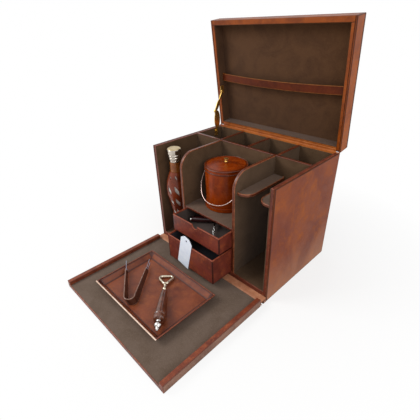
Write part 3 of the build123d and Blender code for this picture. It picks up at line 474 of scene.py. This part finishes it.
def rounded_box(low, high, radius):
    """A box with all its edges rounded: a point of the box's surface is drawn back to the box inset
    by the radius, then set out from there by the radius. The edge distance is the second smallest of
    its three distances from the box's sides."""
    low, high = np.array(low, float), np.array(high, float)
    lines = [lines_between(low[i], high[i], radius) for i in range(3)]
    points, faces = [], []
    count = 0
    for axis in range(3):
        b, c = (axis + 1) % 3, (axis + 2) % 3
        rows, columns = np.meshgrid(lines[b], lines[c], indexing="ij")
        cells = grid_faces(len(lines[b]), len(lines[c]))
        for side, value in ((1, high[axis]), (-1, low[axis])):
            face = np.empty((rows.size, 3))
            face[:, axis], face[:, b], face[:, c] = value, rows.ravel(), columns.ravel()
            points.append(face)
            faces.append((cells[:, ::-1] if side > 0 else cells) + count)
            count += len(face)
    flat = np.concatenate(points)
    core = np.clip(flat, low + radius, high - radius)
    out = flat - core
    out /= np.maximum(np.linalg.norm(out, axis=1), 1e-9)[:, None]
    edge = np.sort(np.minimum(flat - low, high - flat), axis=1)[:, 1]
    return outward((core + out * radius, np.concatenate(faces), edge))


def filleted(corners, radii, steps=4, marks=CORNER_MARKS):
    """A line through corners with each bent by its radius. Also each point's distance from the
    nearest bent corner. Marks are extra points at these distances from the bends."""
    corners, radii = np.array(corners, float), np.array(radii, float)
    runs = [corners[:1]]
    for i in range(1, len(corners) - 1):
        before, after = corners[i - 1] - corners[i], corners[i + 1] - corners[i]
        room = (np.linalg.norm(before), np.linalg.norm(after))
        before, after = before / room[0], after / room[1]
        half = math.acos(max(-1.0, min(1.0, before @ after))) / 2
        if radii[i] <= 0 or half < 1e-4 or half > math.pi / 2 - 1e-4:
            runs.append(corners[i:i + 1])
            continue
        back_off = radii[i] / math.tan(half)
        middle = corners[i] + (before + after) / np.linalg.norm(before + after) * radii[i] / math.sin(half)
        start = corners[i] + before * back_off - middle
        end = corners[i] + after * back_off - middle
        turn = math.pi - 2 * half
        t = np.linspace(0, 1, steps + 1)[:, None]
        arc = (np.sin((1 - t) * turn) * start + np.sin(t * turn) * end) / math.sin(turn) + middle
        lead = [corners[i] + before * (back_off + m) for m in reversed(marks)
                if back_off + m < room[0] * 0.48]
        trail = [corners[i] + after * (back_off + m) for m in marks if back_off + m < room[1] * 0.48]
        runs.append(np.array(lead + list(arc) + trail))
    runs.append(corners[-1:])
    points = np.concatenate(runs)
    creased = corners[radii > 0]
    gaps = (np.linalg.norm(points[:, None] - creased[None], axis=2).min(1) if len(creased)
            else np.full(len(points), FAR))
    return points, gaps


def rectangle(half_x, half_y, corner_r, marks=CORNER_MARKS, front_stops=()):
    """A function of an offset that gives a rectangle's outline moved out by it, round at the corners,
    with points at the marks from each corner. It also gives each point's distance from a corner."""
    marks = np.array(marks, float)
    stops = np.array(front_stops, float)

    def outline(offset):
        half = np.maximum(np.array([half_x, half_y]) + offset, 0)
        r = min(max(corner_r + offset, 0.3), half[0], half[1])
        runs, gaps = [], []
        for corner in range(4):
            signs = np.array([(1, 1), (-1, 1), (-1, -1), (1, -1)][corner], float)
            middle = signs * (half - r)
            angle = (corner + np.linspace(0, 1, RIM_STEPS + 1)) * math.pi / 2
            arc = middle + r * np.stack([np.cos(angle), np.sin(angle)], 1)
            run = half[corner % 2] - r
            along = np.minimum(marks, run)
            between = np.clip(stops + run, along[-1], 2 * run - along[-1]) if corner == 2 else stops[:0]
            reach = np.concatenate([along, between, 2 * run - along[::-1]])
            ahead = (corner + 2) * math.pi / 2
            runs += [arc, arc[-1] + reach[:, None] * np.array([math.cos(ahead), math.sin(ahead)])]
            gaps += [np.zeros(RIM_STEPS + 1), marks, np.full(len(between), FAR), marks[::-1]]
        return np.concatenate(runs), np.concatenate(gaps)

    return outline


def carried(outline, profile, creases, centre=(0.0, 0.0)):
    """The outline at each offset and height of a profile, one ring above another. Where the profile
    is steep, corners of the plan count as edges too."""
    rings = [outline(offset)[0] for offset, _ in profile]
    plan = outline(0)[1]
    step = np.diff(profile, axis=0)
    steep = np.abs(step[:, 1]) > 0.5 * np.abs(step[:, 0])
    steep = np.concatenate([steep[:1], steep]) & np.concatenate([steep, steep[-1:]])
    flat = np.concatenate(rings)
    heights = np.repeat(profile[:, 1], len(plan))
    points = np.column_stack([flat[:, 0] + centre[0], flat[:, 1] + centre[1], heights])
    edge = np.where(steep[:, None], np.minimum(plan[None], creases[:, None]),
                    np.repeat(creases[:, None], len(plan), 1)).ravel()
    return outward((points, grid_faces(len(profile), len(plan), around=True), edge))


def turned(corners, radii, origin, axis=(0, 0, 1), around=96):
    """A profile of (radius, height) carried round an axis: x and y are the radius times the cosine
    and sine of the angle, z is the height, and the whole is stood along the axis."""
    profile, creases = filleted(corners, radii)
    axis = np.array(axis, float) / np.linalg.norm(axis)
    helper = np.array([0.0, 0, 1]) if abs(axis[2]) < 0.9 else np.array([1.0, 0, 0])
    first = np.cross(helper, axis)
    first /= np.linalg.norm(first)
    second = np.cross(axis, first)
    angle = np.linspace(0, 2 * math.pi, around, endpoint=False)
    circle = np.cos(angle)[:, None] * first + np.sin(angle)[:, None] * second
    points = profile[:, 0, None, None] * circle + profile[:, 1, None, None] * axis + np.array(origin, float)
    return outward((points.reshape(-1, 3), grid_faces(len(profile), around, around=True),
                    np.repeat(creases, around)))


def swept(path, section, side_hint, scales=None):
    """A closed section (across, up) carried along a path. Up stands square to the path and to the
    side, and the side leans as little as it can from the hint. The ends close on their middles."""
    path = np.array(path, float)
    ahead = np.gradient(path, axis=0)
    ahead /= np.linalg.norm(ahead, axis=1)[:, None]
    side = np.array(side_hint, float) - ahead * (ahead @ np.array(side_hint, float))[:, None]
    side /= np.linalg.norm(side, axis=1)[:, None]
    up = np.cross(ahead, side)
    section, creases = section
    scales = np.ones((len(path), 2)) if scales is None else scales
    points = (path[:, None] + side[:, None] * section[None, :, 0, None] * scales[:, 0, None, None]
              + up[:, None] * section[None, :, 1, None] * scales[:, 1, None, None])
    caps = path[[0, -1]][:, None].repeat(len(section), 1)
    points = np.concatenate([caps[:1], points, caps[1:]])
    edge = np.tile(creases, len(path) + 2)
    return outward((points.reshape(-1, 3), grid_faces(len(points), len(section), around=True), edge))


def band_section(width, thick, radius, marks=(0.8, 2.0, 4.0)):
    """A flat band's section with rounded edges, as a closed outline, and its edge distances."""
    return rectangle(width / 2, thick / 2, min(radius, thick * 0.49), marks)(0)


hinge = joint_named("lid_hinge")
lid_turn = math.radians(hinge["range_deg"][1])
lid_axis = np.array(hinge["pos_m"]) / MM


def laid_back(points):
    """The lid's points as drawn closed, turned about its hinge line to where it stands open: a turn
    by the opening angle in the plane square to the line."""
    y, z = points[:, 1] - lid_axis[1], points[:, 2] - lid_axis[2]
    c, s = math.cos(lid_turn), math.sin(lid_turn)
    return np.column_stack([points[:, 0], y * c + z * s + lid_axis[1], z * c - y * s + lid_axis[2]])


def on_lid(*shapes):
    """Shapes drawn with the lid closed, as one, laid back with it."""
    return moved(joined(*shapes), laid_back)


def twins(x_near, x_far, y_span, z_span, radius):
    """A rounded box on the left and one on the right: the same box with its x changed in sign."""
    spans = [sorted((side * x_near, side * x_far)) for side in (-1, 1)]
    return [rounded_box((low, y_span[0], z_span[0]), (high, y_span[1], z_span[1]), radius)
            for low, high in spans]


# Walls: a hide skin over each board, and the board's burnished edge inside it, a fine groove apart
skins = twins(SKIN_IN, HALF_W, (FRONT, BACK), (HIDE_LOW, TOP), 1.3)
edges = twins(INNER_W, SKIN_IN - GROOVE, (FRONT + 0.3, BACK - 5.3), (BASE_T + 0.2, TOP - 0.4), 1.6)
for name, skin, edge in zip(("left", "right"), skins, edges):
    piece(f"{name}_wall_skin", skin, case_hide, replaces=(f"{name}_side_wall",))
    piece(f"{name}_wall_edge", edge, edge_hide, replaces=(f"{name}_side_wall",))
piece("back_wall_skin",
      rounded_box((-SKIN_IN + GROOVE, BACK - SKIN, HIDE_LOW), (SKIN_IN - GROOVE, BACK, TOP - 3.2), 1.0),
      case_hide, replaces=("back_wall",))
piece("back_wall_edge",
      rounded_box((-INNER_W, BACK_INNER, BASE_T + 0.2), (INNER_W, BACK - SKIN - 0.2, TOP - STRIP_T), 0.6),
      edge_hide, replaces=("back_wall",))
piece("base_hide", joined(
    rounded_box((-SKIN_IN + GROOVE, FRONT - 0.5, 0.0), (SKIN_IN - GROOVE, BACK - SKIN - 0.3, 13.8), 1.0),
    rounded_box((-HALF_W, TONGUE_FRONT, 0.0), (HALF_W, FRONT - 0.2, TONGUE_TOP), 1.2)),
    case_hide, replaces=("base_board",))


def nose_section():
    """The hinge leather's side view: flat on the base's tongue, then half round its nose, as thick
    as the leather. A point on the arc is the nose's middle less its radius times the angle's sine,
    and plus its radius times the cosine."""
    def run(inward):
        angle = np.linspace(0, math.pi - 0.05, 15)
        radius = NOSE_R - inward
        arc = np.column_stack([NOSE_Y - radius * np.sin(angle), NOSE_R + radius * np.cos(angle)])
        flat = [(FRONT - reach, BASE_T - inward) for reach in (0.4, 4, 10)]
        return np.concatenate([flat, arc])

    return np.concatenate([run(0.0), run(NOSE_LEATHER_T)[::-1]])


def drawn_out(section, x_low, x_high):
    """A (y, z) section carried along X. Its ends are drawn in towards the section's own middle line,
    so that they look rounded, and close on it. The edge distance is the distance from the ends."""
    section = np.array(section, float)
    half = len(section) // 2
    spine = (section[:half] + section[::-1][:half]) / 2
    spine = np.concatenate([spine, spine[::-1]])
    inset = np.array([0.0, 0.0, 0.6, 3.0, 9.0])
    xs = np.concatenate([x_low + inset, x_high - inset[::-1]])
    shares = (0.0, 0.55, 1, 1, 1, 1, 1, 1, 0.55, 0.0)
    rings = [np.column_stack([np.full(len(section), x), spine + (section - spine) * share])
             for x, share in zip(xs, shares)]
    ends = np.minimum(xs - x_low, x_high - xs)
    return outward((np.concatenate(rings), grid_faces(len(rings), len(section), around=True),
                    np.repeat(ends, len(section))))


piece("front_hinge_leather", drawn_out(nose_section(), -HALF_W + 0.3, HALF_W - 0.3), front_strip_hide,
      replaces=("front_hinge_strip", "hinge_nose_cover"))

# Inside: floor with its leather front edge, beads on the dividers and round the partitions
piece("floor_suede", rounded_box((-INNER_W, FRONT + 3, BASE_T), (INNER_W, BACK_INNER, FLOOR_TOP), 0.5),
      lining_suede, replaces=("interior_floor",))
piece("floor_front_edge",
      rounded_box((-INNER_W, FRONT - 0.4, BASE_T + 0.1), (INNER_W, FRONT + 3.2, FLOOR_TOP + 0.6), 1.4),
      edge_hide, replaces=("interior_floor",))

beads = [rounded_box((x - BEAD_HALF, CROSS_BACK, BEAD_LOW), (x + BEAD_HALF, LINED_BACK, TOP + 0.4), 1.35)
         for x in DIVIDERS_X]
beads.append(rounded_box((-LINED_W, CROSS_FRONT - 0.4, BEAD_LOW), (LINED_W, CROSS_BACK + 0.4, TOP + 0.6),
                         1.35))
piece("divider_beads", joined(*beads), bead_hide, replaces=("divider_top_edges",))


def partition_path(x):
    """From the floor up a partition's front, round its corner by a quarter circle, and back along its
    top, inside its outline by the bead's inset. A point on the arc is the corner's middle plus its
    radius times the angle's cosine and sine."""
    angle = np.linspace(math.pi, math.pi / 2, 17)
    radius = PARTITION_R - BEAD_INSET
    arc = np.column_stack([PARTITION_FRONT + PARTITION_R + radius * np.cos(angle),
                           TOP - PARTITION_R + radius * np.sin(angle)])
    rise = np.linspace(FLOOR_TOP, arc[0, 1], 14)[:-1]
    run = np.linspace(arc[-1, 0], CROSS_FRONT + 0.4, 10)[1:]
    line = np.concatenate([np.column_stack([np.full(len(rise), arc[0, 0]), rise]), arc,
                           np.column_stack([run, np.full(len(run), arc[-1, 1])])])
    return np.column_stack([np.full(len(line), x), line])


rounds = [swept(partition_path(x), band_section(2 * BEAD_HALF, BEAD_T, BEAD_R), (1, 0, 0))
          for x in PARTITIONS_X]
piece("partition_beads", joined(*rounds), bead_hide, replaces=("partition_edges",))
piece("shelf_bead", rounded_box((-104, -155.6, 178.2), (104, -152.6, 185.0), 1.3), bead_hide,
      replaces=("bucket_shelf_edge",))


def ledge_line(x_wall, x_free):
    """A glass ledge's plan, inside its outline by the bead's inset: straight on the wall side, a
    large quarter circle at the free front corner and a small one at the free rear corner."""
    free = x_free - math.copysign(BEAD_INSET, x_free - x_wall)
    front = LEDGE_FRONT + BEAD_INSET
    corners = [(x_wall, CROSS_FRONT), (x_wall, front), (free, front), (free, CROSS_FRONT),
               (x_wall, CROSS_FRONT)]
    return filleted(corners, [0, 0, 30.0 - BEAD_INSET, 8.0 - BEAD_INSET, 0], 10, marks=())[0]


for name, x_wall, x_free in (("left", 112.0, 150.0), ("right", LINED_W, 176.8)):
    line = ledge_line(x_wall, x_free)[1:-1]
    path = np.column_stack([line, np.full(len(line), LEDGE_BEAD_Z)])
    piece(f"{name}_ledge_bead", swept(path, band_section(7.6, BEAD_T, BEAD_R), (0, 0, 1)), bead_hide)

# Lid, drawn closed and laid back open
lid_skin = twins(SKIN_IN, HALF_W, (LID_FRONT, BACK), (LID_LOW, LID_HIGH - SKIN - 0.2), 1.2)
lid_skin.append(rounded_box((-SKIN_IN + GROOVE, BACK - SKIN, LID_LOW + STRIP_T),
                            (SKIN_IN - GROOVE, BACK, LID_HIGH - SKIN - 0.2), 1.0))
piece("lid_side_skins", on_lid(*lid_skin), lid_hide, "lid", ("lid_rim_frame",))
piece("lid_top_skin", on_lid(
    rounded_box((-HALF_W, LID_FRONT, LID_HIGH - SKIN), (HALF_W, BACK, LID_HIGH), 1.6)), case_hide,
    "lid", ("lid_top_panel",))
piece("lid_panel_board", on_lid(
    rounded_box((-SKIN_IN, LID_FRONT + 2, LID_PANEL), (SKIN_IN, BACK - 2, LID_HIGH - SKIN + 0.3), 0.4)),
    lid_hide, "lid", ("lid_top_panel",))
rims = [rounded_box((-SKIN_IN + GROOVE, LID_FRONT, LID_LOW),
                    (SKIN_IN - GROOVE, LID_FRONT + RIM_W, LID_PANEL), 1.4)]
rims += twins(INNER_W, SKIN_IN - GROOVE, (LID_FRONT + RIM_W + 0.3, BACK - SKIN - 0.3),
              (LID_LOW, LID_PANEL), 1.4)
rims.append(rounded_box((-INNER_W + 0.2, BACK_INNER, LID_LOW + STRIP_T + 0.1),
                        (INNER_W - 0.2, BACK - SKIN - 0.2, LID_PANEL), 0.8))
piece("lid_rims", on_lid(*rims), rim_hide, "lid", ("lid_rim_frame",))


def ridged(base_z, crest_z):
    """A hinge strip's side view as a closed outline: its top rises in half-round ridges, the height
    being the crest less the ridge's height times the cube of the absolute cosine between them."""
    t = np.linspace(0, 1, 8 * RIDGES + 1)
    across = BACK_INNER + (BACK - BACK_INNER) * t
    crest = crest_z - RIDGE_H * np.abs(np.cos(t * math.pi * RIDGES)) ** 3
    top = np.column_stack([across, crest])
    bottom = np.column_stack([across, np.full(len(t), base_z)])
    return np.concatenate([top, bottom[::-1]])


# A roll of hinge leather lies in the crease between the two strips and closes it from behind
roll_line = [(0, 0), (1.8, 0), (1.8, 479.2), (0, 479.2)]
piece("hinge_roll", turned(roll_line, [0, 0.7, 0.7, 0], (-239.6, 158.0, 359.6), (1, 0, 0), around=16),
      strip_hide)
piece("lid_hinge_leather", on_lid(drawn_out(
    ridged(LID_LOW + STRIP_T, LID_LOW + 0.3), -INNER_W, INNER_W)), strip_hide, "lid",
    ("lid_hinge_strip",))
piece("back_hinge_leather", drawn_out(
    ridged(TOP - STRIP_T, TOP), -INNER_W, INNER_W), strip_hide, replaces=("back_hinge_strip",))


def strap_shape():
    """The strap across the lid, drawn closed: between its ends it bows off the lining and sags
    towards the hinge, both by an amount times one less the square of x over the half span."""
    xs = np.linspace(-1, 1, 49)
    loose = 1 - xs ** 2
    line = np.column_stack([xs * (LINED_W - STRAP_T), STRAP_Y + STRAP_SAG * loose,
                            STRAP_Z - STRAP_BOW * loose])
    band = swept(line, band_section(STRAP_W, STRAP_T, 0.9), (0, 1, 0))
    tabs = twins(LINED_W - 2.4, LINED_W, (STRAP_Y - STRAP_W / 2, STRAP_Y + STRAP_W / 2),
                 (STRAP_Z - 1.2, STRAP_Z + 9.0), 0.9)
    return on_lid(band, *tabs)


piece("lid_strap_band", strap_shape(), strap_hide, "lid", ("lid_strap",))

# Flap: board with rubbed sides, rims with a rounded top, a binding across the end
piece("flap_board_hide",
      rounded_box((-HALF_W + 1.8, FLAP_END + 2.0, 0.0), (HALF_W - 1.8, FLAP_REAR, 12.0), 0.8),
      case_hide, "flap", ("flap_board",))
piece("flap_side_hides",
      joined(*twins(HALF_W - 2.0, HALF_W, (FLAP_END + 0.4, FLAP_REAR), (0.0, 24.9), 0.8)),
      board_hide, "flap", ("flap_board",))
piece("flap_rims",
      joined(*twins(225.0, HALF_W - 1.4, (FLAP_END + 0.3, FLAP_REAR), (12.2, 25.7), 1.8)),
      flap_rim_hide, "flap", ("flap_side_rims",))
piece("flap_binding", rounded_box((-HALF_W, FLAP_END, 0.0), (HALF_W, FLAP_END + 2.4, 13.4), 1.1),
      edge_hide, "flap", ("flap_end_binding",))


# Drawers: a hide shell with a rubbed top edge, and a dark lining inside


def notched(shape, low, height, centre_y, notch_r):
    """The finger notch: on the front wall each point's height is scaled so that the top follows a
    half circle, the top's height less the root of the radius squared less x squared."""
    points = shape[0].copy()
    front = points[:, 1] < centre_y - DRAWER_HALF_Y + 7.0
    x = np.clip(points[:, 0], -notch_r, notch_r)
    top = height - np.sqrt(notch_r ** 2 - x ** 2)
    share = np.where(front, top / height, 1.0)
    points[:, 2] = low + (points[:, 2] - low) * share
    return (points, shape[1], shape[2])


def drawer(name, low, height, centre_y, lining, notch_r=0.0):
    """A drawer in three pieces, each a profile of (offset, height) carried round its rectangle: the
    shell up to the edge, the rolled edge, and the lining down from it and across the floor."""
    stops = tuple(notch_r * np.sin(np.linspace(-math.pi / 2, math.pi / 2, 15))) if notch_r else ()
    outline = rectangle(DRAWER_HALF_X, DRAWER_HALF_Y, 1.5, front_stops=stops)
    top = low + height
    shell, gaps = filleted([(-DRAWER_HALF_Y, low), (0, low), (0, top - 2.5), (-1.8, top - 2.5)],
                           [0, 1.0, 0.4, 0])
    inside = -DRAWER_WALL - 0.1
    rim, rim_gaps = filleted([(-0.4, top - 3.6), (0.1, top - 3.2), (0.1, top), (inside, top),
                              (inside, top - 5.0), (-0.4, top - 5.0), (-0.4, top - 3.6)],
                             [0, 0.3, 1.6, 1.6, 0.3, 0, 0], marks=())
    floor_top = low + DRAWER_FLOOR_T
    well, well_gaps = filleted([(-2.0, top - 3.0), (-DRAWER_WALL, top - 3.0), (-DRAWER_WALL, floor_top),
                                (-DRAWER_HALF_Y, floor_top)], [0, 0.3, 0.5, 0])
    for part, line, marks, finish, slot in (("hide", shell, gaps, drawer_hide, None),
                                            ("top_edge", rim, rim_gaps, drawer_rim_hide, "edge_leather"),
                                            ("well", well, well_gaps, lining, "suede")):
        points, faces, edge = carried(outline, line, marks, (0.0, centre_y))
        shape = (points, faces[:, ::-1] if part == "well" else faces, edge)
        if notch_r:
            shape = notched(shape, low, height, centre_y, notch_r)
        piece(f"{name}_{part}", shape, finish, name, (name,))


drawer("lower_drawer", low=28.3, height=87.8, centre_y=-163.5, lining=well_suede)
drawer("upper_drawer", low=121.0, height=57.0, centre_y=-135.5, lining=upper_well_suede, notch_r=12.0)

# Serving tray: flared walls with mitred corners and a rounded lip
tray_line, tray_gaps = filleted(
    [(-TRAY_HALF_Y, 13.3), (0, 13.3), (14.0, 31.6), (14.2, 33.8), (10.6, 33.8), (10.2, 31.6),
     (-3.4, 16.3), (-TRAY_HALF_Y, 16.3)], [0, 0.8, 0.6, 1.3, 1.3, 0.6, 1.5, 0])
piece("tray_hide", carried(rectangle(TRAY_HALF_X, TRAY_HALF_Y, 0.6), tray_line, tray_gaps, TRAY_MIDDLE),
      tray_hide, "tray", ("serving_tray",))
piece("tray_front_lip", rounded_box((-162.6, -475.4, LIP_LOW), (139.6, -471.6, 34.6), 1.2), lit_lip_hide,
      "tray")
lips = [rounded_box((-162.8, -269.4, LIP_LOW), (139.8, -266.2, LIP_TOP), 1.1),
        rounded_box((-162.8, -472.0, LIP_LOW), (-159.4, -269.4, LIP_TOP), 1.1),
        rounded_box((136.6, -472.0, LIP_LOW), (139.8, -269.4, LIP_TOP), 1.1)]
piece("tray_side_lips", joined(*lips), edge_hide, "tray")

# Ice bucket: foot, tapered body with a seam at its back, domed lid with piping
piece("bucket_foot_hide", turned([(0, 0), (69.4, 0), (69.4, 13.0), (64.5, 14.0), (0, 14.0)],
                                 [0, 1.5, 2.6, 0, 0], BUCKET), bucket_hide, replaces=("bucket_foot",))
body_shape = turned([(0, 13.4), (65.0, 13.4), (66.5, 125.0), (63.0, 125.0), (61.5, 20.0), (0, 20.0)],
                    [0, 1.0, 1.4, 1.2, 1.0, 0], BUCKET)
seam = moved(rounded_box((-2.0, 64.6, 14.0), (2.0, 67.4, 124.0), 1.0), lambda p: p + np.array(BUCKET))
piece("bucket_body_hide", joined(body_shape, seam), bucket_hide, replaces=("bucket_shell",))
lid_line = [(0, 120.3), (59.0, 120.3), (59.5, 125.3), (66.6, 125.3), (66.6, 136.8), (62.0, 139.0),
            (0, 139.9)]
piece("bucket_lid_hide", turned(lid_line, [0, 0.5, 0, 0.8, 2.2, 3.0, 0], BUCKET), bucket_hide,
      "bucket_lid", ("bucket_lid",))
piping = []
for height, radius in ((126.9, 67.4), (136.6, 66.9)):
    circle = [(radius + PIPING_R * math.cos(a), height + PIPING_R * math.sin(a))
              for a in np.linspace(0, 2 * math.pi, 25)[:-1]]
    piping.append(turned(circle + circle[:1], [0] * 25, BUCKET))
piece("bucket_piping", joined(*piping), piping_hide, "bucket_lid")

# Bottle cap: silver rings in steps and a crown with worn gilding
cap_line = [(0, 0), (17.6, 0), (17.6, 5.0), (16.6, 7.0), (16.8, 9.2), (19.3, 9.3), (19.3, 14.3),
            (18.2, 16.2), (18.4, 18.4), (21.0, 18.5), (21.0, 23.5), (19.9, 25.4), (20.1, 27.6),
            (22.8, 27.7), (22.8, 42.0), (21.4, 43.2), (0, 43.2)]
cap_radii = [0] + [0.7, 1.2, 0.7, 0.3] * 3 + [0.8, 0.8, 0.4, 0]
piece("bottle_cap_rings", turned(cap_line, cap_radii, CAP, around=48), cap_metal, "bottle_cap",
      ("bottle_cap",))
crown_line = [(0, 43.0), (21.9, 43.0), (21.9, 44.4), (17.0, 46.2), (0, 46.4)]
piece("bottle_cap_crown", turned(crown_line, [0, 0.6, 1.2, 6.0, 0], CAP, around=48), crown_metal,
      "bottle_cap", ("bottle_cap",))

# Bottle opener: turned handle and finial along its own line, as shares of their radius and length
turn, tilt = math.radians(OPENER_TURN_DEG), math.radians(OPENER_TILT_DEG)
opener_axis = (math.cos(turn) * math.cos(tilt), math.sin(turn) * math.cos(tilt), math.sin(tilt))
handle_shares = ((0.0, 0.0), (0.0, 0.48), (0.06, 0.56), (0.45, 0.74), (0.80, 0.92), (0.84, 1.0),
                 (0.88, 0.88), (0.92, 1.0), (0.97, 0.94), (1.0, 0.80), (1.0, 0.0))
handle_line = [(HANDLE_R * out, HANDLE_START + HANDLE_RUN * along) for along, out in handle_shares]
piece("opener_handle_wood", turned(handle_line, [0, 0.6, 4, 20, 3, 1.2, 1.2, 1.2, 1, 0.8, 0],
                                   OPENER, opener_axis, around=40),
      handle_wood, "tray", ("opener_handle",))
finial_shares = ((0.0, 0.0), (0.0, 0.62), (0.10, 0.66), (0.20, 0.55), (0.30, 0.62), (0.42, 0.95),
                 (0.52, 1.0), (0.62, 0.86), (0.72, 0.48), (0.80, 0.52), (0.90, 0.40), (1.0, 0.18),
                 (1.0, 0.0))
finial_line = [(FINIAL_R * out, HANDLE_START + HANDLE_RUN + FINIAL_RUN * along)
               for along, out in finial_shares]
piece("opener_finial_metal", turned(finial_line, [0, 0.5, 0.8, 1.5, 1, 2, 3, 2, 1.2, 1.2, 1.5, 0.4, 0],
                                    OPENER, opener_axis, around=40),
      chrome, "tray", ("opener_finial",))

# Ice tongs: a strip standing on edge, bent round, with a forked claw on each arm


def arm_line(degrees, side, start, end):
    """Points along one arm: from the bend's middle, out by the bend's radius square to the arm's
    direction, then along it."""
    a = math.radians(degrees)
    ahead = np.array([math.cos(a), math.sin(a), 0])
    across = np.array([-math.sin(a), math.cos(a), 0]) * side * TONGS_R
    return TONGS + across + ahead * np.linspace(start, end, ARM_STEPS)[:, None]


def bend_line(first, last):
    """Points round the bend: its middle plus its radius times each angle's cosine and sine."""
    angle = np.radians(np.linspace(first, last, BEND_STEPS))
    return TONGS + TONGS_R * np.column_stack([np.cos(angle), np.sin(angle), np.zeros(BEND_STEPS)])


def claw_shape(degrees, side):
    """Two prongs that leave the arm's end, part by a sine and curl up by a square to their tips."""
    t = np.linspace(0, 1, ARM_STEPS)
    prongs = []
    for spread in (-1, 1):
        path = arm_line(degrees, side, PRONG_START, PRONG_END)
        parted = PRONG_GAP + PRONG_PART * np.sin(t * math.pi * 0.6)
        path[:, 2] += spread * parted + PRONG_CURL * t ** 2
        prongs.append(swept(path, band_section(6.4, 1.8, 0.8, marks=(0.8,)), (0, 0, 1),
                            np.column_stack([1.0 - 0.55 * t, np.ones(ARM_STEPS)])))
    return joined(*prongs)


upright_band = band_section(25.0, 3.2, 1.3)
taper = np.column_stack([np.linspace(0.66, 1.0, ARM_STEPS), np.ones(ARM_STEPS)])
left_line = np.concatenate([arm_line(LEFT_ARM_DEG, 1, ARM_RUN, 2.0),
                            bend_line(LEFT_ARM_DEG + 90, RIGHT_ARM_DEG + 270)])
left_scales = np.concatenate([taper, np.ones((BEND_STEPS, 2))])
piece("tongs_left_strip", swept(left_line, upright_band, (-0.16, -0.25, 1), left_scales), tongs_hide,
      "tray", ("tongs_left_arm",))
right_line = arm_line(RIGHT_ARM_DEG, -1, 0.6, ARM_RUN)
piece("tongs_right_strip", swept(right_line, upright_band, (-0.3, -0.26, 1), taper[::-1]), tongs_hide,
      "tongs_arm", ("tongs_right_arm",))
piece("tongs_left_prongs", claw_shape(LEFT_ARM_DEG, 1), claw_metal, "tray", ("tongs_left_claw",))
piece("tongs_right_prongs", claw_shape(RIGHT_ARM_DEG, -1), claw_metal, "tongs_arm",
      ("tongs_right_claw",))

# CAD nodes whose shape is right as it is get their finish here
finishes = {
    "cross_partition": lining_suede, "rear_divider_1": lining_suede, "rear_divider_2": lining_suede,
    "rear_divider_3": lining_suede, "left_partition": lining_suede, "right_partition": lining_suede,
    "wall_lining": lining_suede, "lid_lining": shaded_lid_suede, "bucket_shelf": shelf_suede,
    "left_glass_ledge": shelf_suede, "right_glass_ledge": shelf_suede, "flap_lining": lit_flap_suede,
    "drawer_shelf": drawer_hide, "bucket_liner": liner_metal, "bucket_knob": brass,
    "bucket_bail": bail_metal, "bail_pivots": bail_metal, "bottle_collar": collar_hide,
    "bottle_leather_cover": bottle_hide, "bottle_glass": glass,
    "opener_head": warm_chrome, "corkscrew_grip": dark_wood, "corkscrew_ends": chrome,
    "corkscrew_worm": chrome, "stay_case_foot": brass, "stay_lid_foot": brass,
    "stay_lower_arm": brass, "stay_upper_arm": brass, "paper_tag": card,
}
for name, finish in finishes.items():
    nodes[name].data.materials.clear()
    nodes[name].data.materials.append(finish)

# Floor, daylight and lamps

floor_mesh = bpy.data.meshes.new("floor")
floor_mesh.from_pydata([(-6, -6, 0), (6, -6, 0), (6, 6, 0), (-6, 6, 0)], [], [(0, 1, 2, 3)])
floor = bpy.data.objects.new("floor", floor_mesh)
scene.collection.objects.link(floor)
# Matt white paint, lit to plain white away from the case and keeping the case's shadow near it
floor_paint, tree, ground = new_finish("matt_white_floor")
ground.inputs["Base Color"].default_value = linear("f2f1ef")
ground.inputs["Roughness"].default_value = 0.9
seen = add(tree, "LightPath").outputs["Is Camera Ray"]
place = add(tree, "TexCoord").outputs["Object"]
away = add(tree, "VectorMath", {"operation": "LENGTH"}, {0: place}).outputs["Value"]
whiter = add(tree, "MapRange", {"From Min": 0.3, "From Max": 0.75, "To Min": 0.75, "To Max": 1.0},
             {"Value": away}).outputs[0]
half_seen = add(tree, "Math", {"operation": "MULTIPLY"}, {0: seen, 1: whiter}).outputs[0]
glow = add(tree, "Emission", {"Strength": 1.0})
blend = add(tree, "MixShader", None, {0: half_seen, 1: ground.outputs[0], 2: glow.outputs[0]})
tree.links.new(blend.outputs[0], tree.nodes["Material Output"].inputs["Surface"])
floor_mesh.materials.append(floor_paint)

# The world is plain white to the camera, in gloss and through glass, and dimmer as a light
world = bpy.data.worlds.new("studio")
scene.world = world
world.use_nodes = True
tree = world.node_tree
rays = add(tree, "LightPath")
either = add(tree, "Math", {"operation": "MAXIMUM"}, {0: rays.outputs["Is Camera Ray"],
                                                      1: rays.outputs["Is Glossy Ray"]}).outputs[0]
either = add(tree, "Math", {"operation": "MAXIMUM"}, {0: either,
                                                      1: rays.outputs["Is Transmission Ray"]}).outputs[0]
strength = add(tree, "MapRange", {"To Min": 0.62, "To Max": 1.0}, {"Value": either}).outputs[0]
sky = tree.nodes["Background"]
sky.inputs[0].default_value = (1, 1, 1, 1)
tree.links.new(strength, sky.inputs[1])

for name, place, aim, size, power in (("window", (-1.3, -1.5, 1.7), (0, -0.1, 0.2), 1.1, 30),
                                      ("fill", (1.6, -0.5, 1.2), (0.1, 0.0, 0.2), 1.0, 10)):
    lamp = bpy.data.lights.new(name, "AREA")
    lamp.energy = power
    lamp.size = size
    stand = bpy.data.objects.new(name, lamp)
    stand.location = place
    stand.rotation_euler = (Vector(aim) - Vector(place)).to_track_quat("-Z", "Y").to_euler()
    scene.collection.objects.link(stand)

scene.view_settings.view_transform = "Standard"
